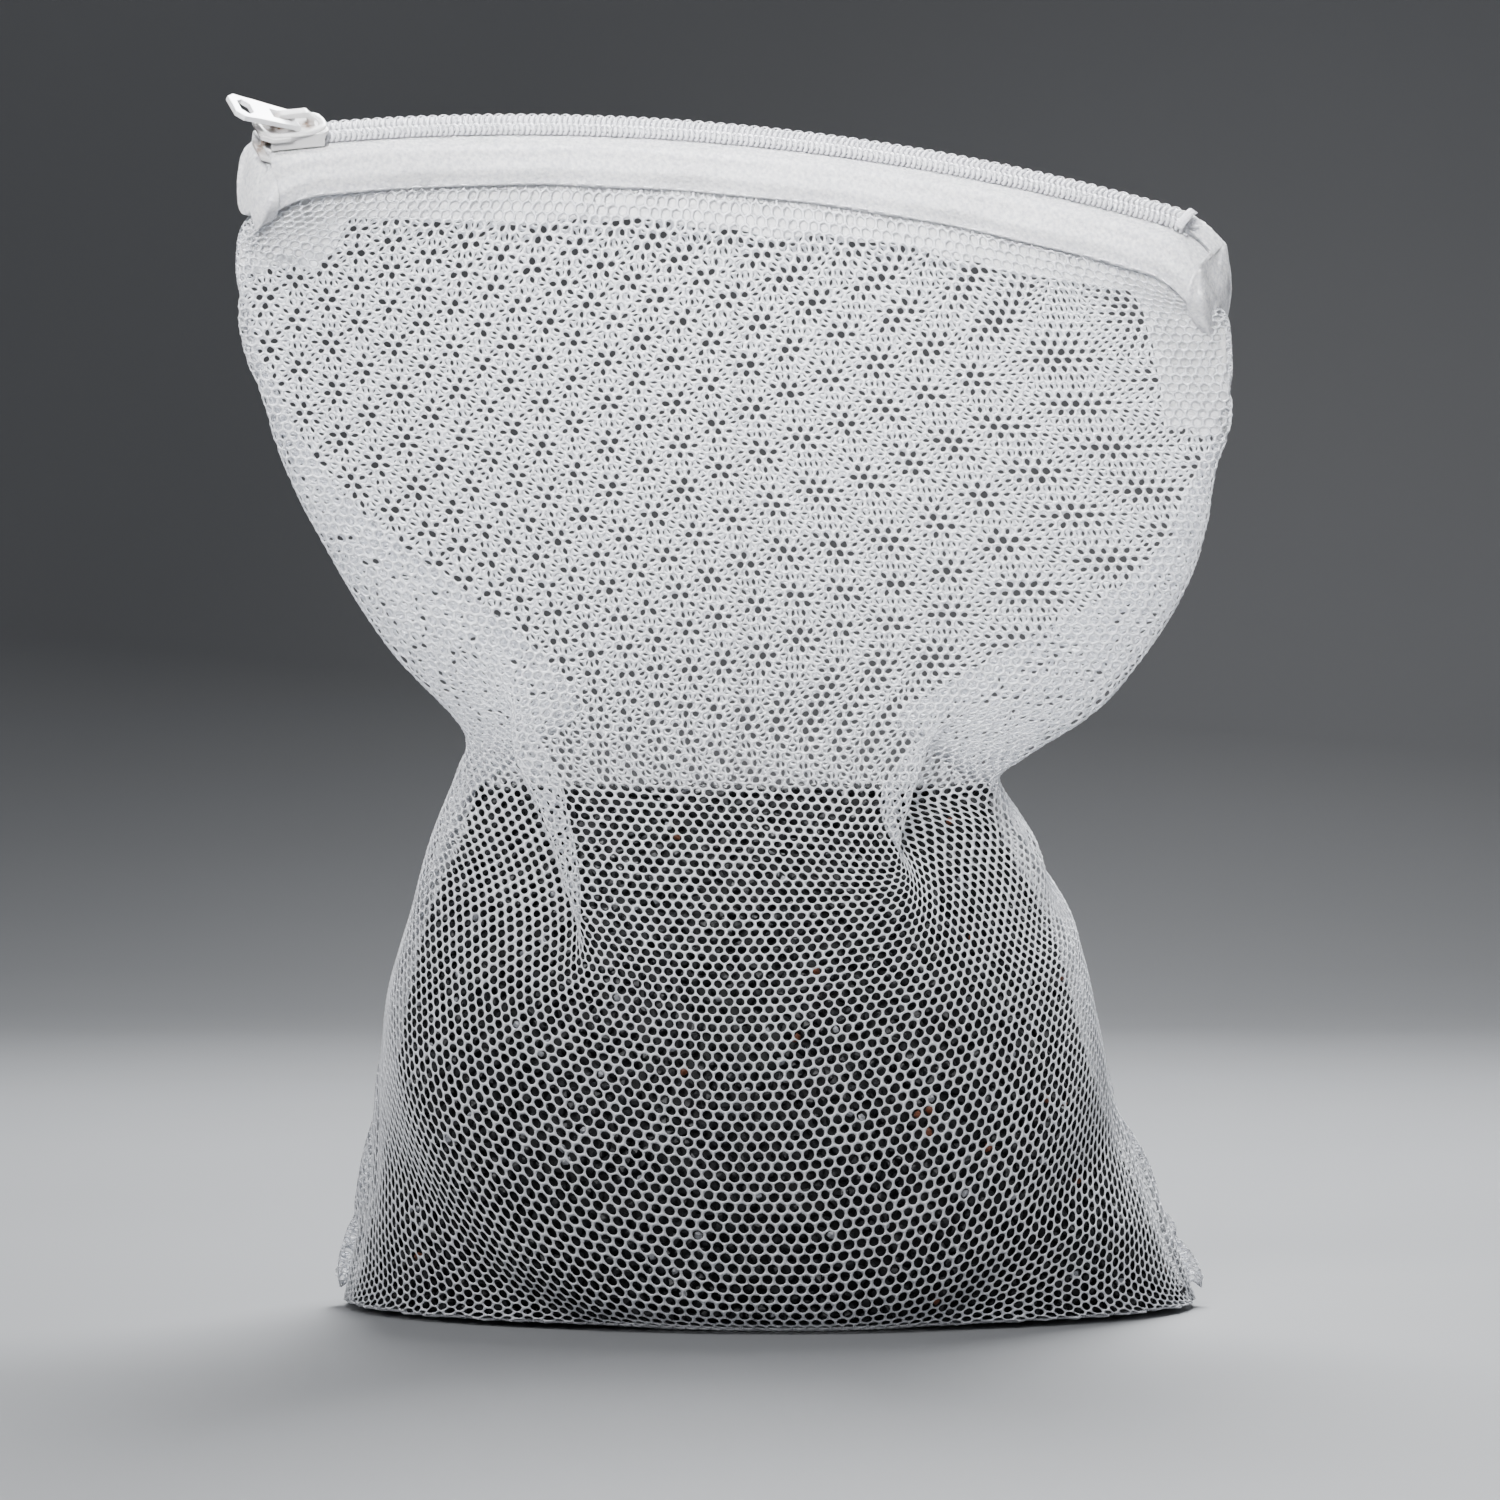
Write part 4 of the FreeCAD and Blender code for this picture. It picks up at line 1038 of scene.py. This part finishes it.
def moulded(name, node, material, voxel, rounding):
    """A moulded piece, on the body of its own name: the CAD shape with its edges softened."""
    source = frame["nodes"][node]
    piece = in_scene(name, source.data.copy())
    piece.data.materials.clear()
    piece.data.materials.append(material)
    remesh = piece.modifiers.new("even", "REMESH")
    remesh.mode = "VOXEL"
    remesh.voxel_size = voxel * MM
    remesh.use_smooth_shade = True
    soften = piece.modifiers.new("soften", "SMOOTH")
    soften.factor = 0.5
    soften.iterations = rounding
    for modifier in (remesh, soften):
        with bpy.context.temp_override(object=piece, active_object=piece, selected_objects=[piece]):
            bpy.ops.object.modifier_apply(modifier=modifier.name)
    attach(piece, name)
    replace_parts(piece, node)


DIRT_COLOUR, DIRT_STRENGTH, DIRT_SCALE = (0.16, 0.085, 0.045, 1), 1.7, 900


def soiled(material, centre, radius):
    """Brown dirt in a moulded material round a point."""
    shader = material.node_tree.nodes["Principled BSDF"]
    clean = shader.inputs["Base Color"].links[0].from_socket
    place = shader_node(material, "TexCoord", "Object", {})
    away = shader_node(material, "VectorMath", "Value", {0: place, 1: centre}, operation="DISTANCE")
    near = shader_node(material, "MapRange", "Result", {
        "From Min": radius, "From Max": radius * 0.35, "To Max": DIRT_STRENGTH, "Value": away
    })
    blotch = shader_node(material, "TexNoise", "Fac", {"Scale": DIRT_SCALE, "Vector": place})
    patchy = shader_node(material, "Math", "Value", {0: near, 1: blotch}, operation="MULTIPLY")
    dirt = {"A": clean, "B": DIRT_COLOUR, "Factor": patchy}
    feed(material, shader, {"Base Color": shader_node(material, "Mix", "Result", dirt, data_type="RGBA")})


SLIDER_ANGLE = math.radians(23.4)
PLATE_TOP = 3.25


def on_slider(x, across, up):
    """Points on the slider: x runs along it, from its mouth on the left to its rear."""
    return on_circle(SLIDER_ANGLE - np.asarray(x) / ZIP_RADIUS, across, up)


# The rim's middle line on the top plate, how narrow it is in front, and its section.
RIM_MIDDLE, RIM_HALF, RIM_TAPER = -0.5, (6.4, 4.4), 0.45
RIM_SECTION = (0.8, 0.5)


def slider_rim(material, steps=96, sides=12):
    """The thick rim moulded round the slider's top plate."""
    turn = 2 * np.pi * np.arange(steps) / steps
    cos, sin = (np.sign(w) * np.abs(w) ** 0.75 for w in (np.cos(turn), np.sin(turn)))
    line = np.stack([RIM_MIDDLE + RIM_HALF[0] * cos, (RIM_HALF[1] - RIM_TAPER * np.cos(turn)) * sin], 1)
    run = unit(np.roll(line, -1, axis=0) - np.roll(line, 1, axis=0))
    section = 2 * np.pi * np.arange(sides) / sides
    reach = RIM_SECTION[0] * np.cos(section)
    x = line[:, :1] + run[:, 1:] * reach
    across = line[:, 1:] - run[:, :1] * reach
    points = on_slider(x, across, PLATE_TOP + 0.05 + RIM_SECTION[1] * np.sin(section))
    quads = wrapped(steps + 1, sides)[:, [0, 3, 2, 1]] % (steps * sides)
    make_piece("slider_rim", points.reshape(-1, 3), [quads], "slider", "slider", material)


slider_material = make_material("slider_plastic", (0.83, 0.82, 0.81), (0.75, 0.74, 0.74), 0.27, 60, 0.05)
pull_material = make_material("pull_plastic", (0.88, 0.88, 0.89), (0.82, 0.82, 0.84), 0.25, 60, 0.05)
for place, radius in (
    ((-3.6, 0.3, PLATE_TOP), 3.4), ((2.6, -0.6, PLATE_TOP), 2.2), ((-6.5, 0.0, 0.6), 4.0)
):
    soiled(slider_material, tuple(on_slider(*place) * MM), radius * MM)
moulded("slider", "slider_body", slider_material, voxel=0.14, rounding=12)
slider_rim(slider_material)
moulded("pull", "pull_tab", pull_material, voxel=0.12, rounding=7)


# ---------------------------------------------------------------- floor, light, camera

def backdrop():
    """A pale floor that curves up into a wall behind the object."""
    bend, radius = 900, 700
    turn = np.linspace(0.1, math.pi / 2, 14)
    curve = [(bend + radius * math.sin(t), radius - radius * math.cos(t)) for t in turn]
    profile = [(-2500, 0), (bend, 0), *curve, (bend + radius, 3200)]
    points = [(x, y, z) for y, z in profile for x in (-3500, 3500)]
    faces = [(2 * n, 2 * n + 1, 2 * n + 3, 2 * n + 2) for n in range(len(profile) - 1)]
    mesh = bpy.data.meshes.new("backdrop")
    mesh.from_pydata([tuple(c * MM for c in p) for p in points], [], faces)
    for polygon in mesh.polygons:
        polygon.use_smooth = True
    mesh.materials.append(make_material("paper", (0.21, 0.213, 0.22), (0.195, 0.198, 0.205), 0.6, 3, 0.05))
    in_scene("backdrop", mesh)


def area_light(name, place, target, size, power, colour, spread=180.0):
    """A round soft light; places and sizes in metres, power in watts, spread in degrees."""
    light = bpy.data.lights.new(name, "AREA")
    light.shape, light.size, light.energy, light.color = "DISK", size, power, colour
    light.spread = math.radians(spread)
    lamp = in_scene(name, light)
    lamp.location = place
    lamp.rotation_euler = (Vector(target) - Vector(place)).to_track_quat("-Z", "Y").to_euler()


backdrop()
area_light("key", (-0.25, -0.42, 0.9), (0, 0, 0.2), 0.4, 8, (0.98, 0.99, 1.0))
area_light("face", (-0.16, -0.62, 0.42), (0, 0, 0.285), 0.2, 0.75, (0.99, 0.99, 1.0), spread=36)
area_light("fill", (0.8, -0.8, 0.6), (0, 0, 0.16), 0.7, 1.5, (0.95, 0.97, 1.0))
area_light("top_back", (0.1, 0.5, 0.8), (0, 0, 0.2), 0.5, 31, (0.96, 0.98, 1.0))
world = bpy.data.worlds.new("studio")
world.use_nodes = True
world.node_tree.nodes["Background"].inputs["Color"].default_value = (0.75, 0.78, 0.84, 1)
world.node_tree.nodes["Background"].inputs["Strength"].default_value = 0.14
bpy.context.scene.world = world

camera = bpy.data.cameras.new("camera")
camera.lens, camera.sensor_width = 108, 36
viewer = in_scene("camera", camera)
viewer.location = (-0.004, -0.9, 0.111)
viewer.rotation_euler = (math.pi / 2, 0, 0)
bpy.context.scene.camera = viewer
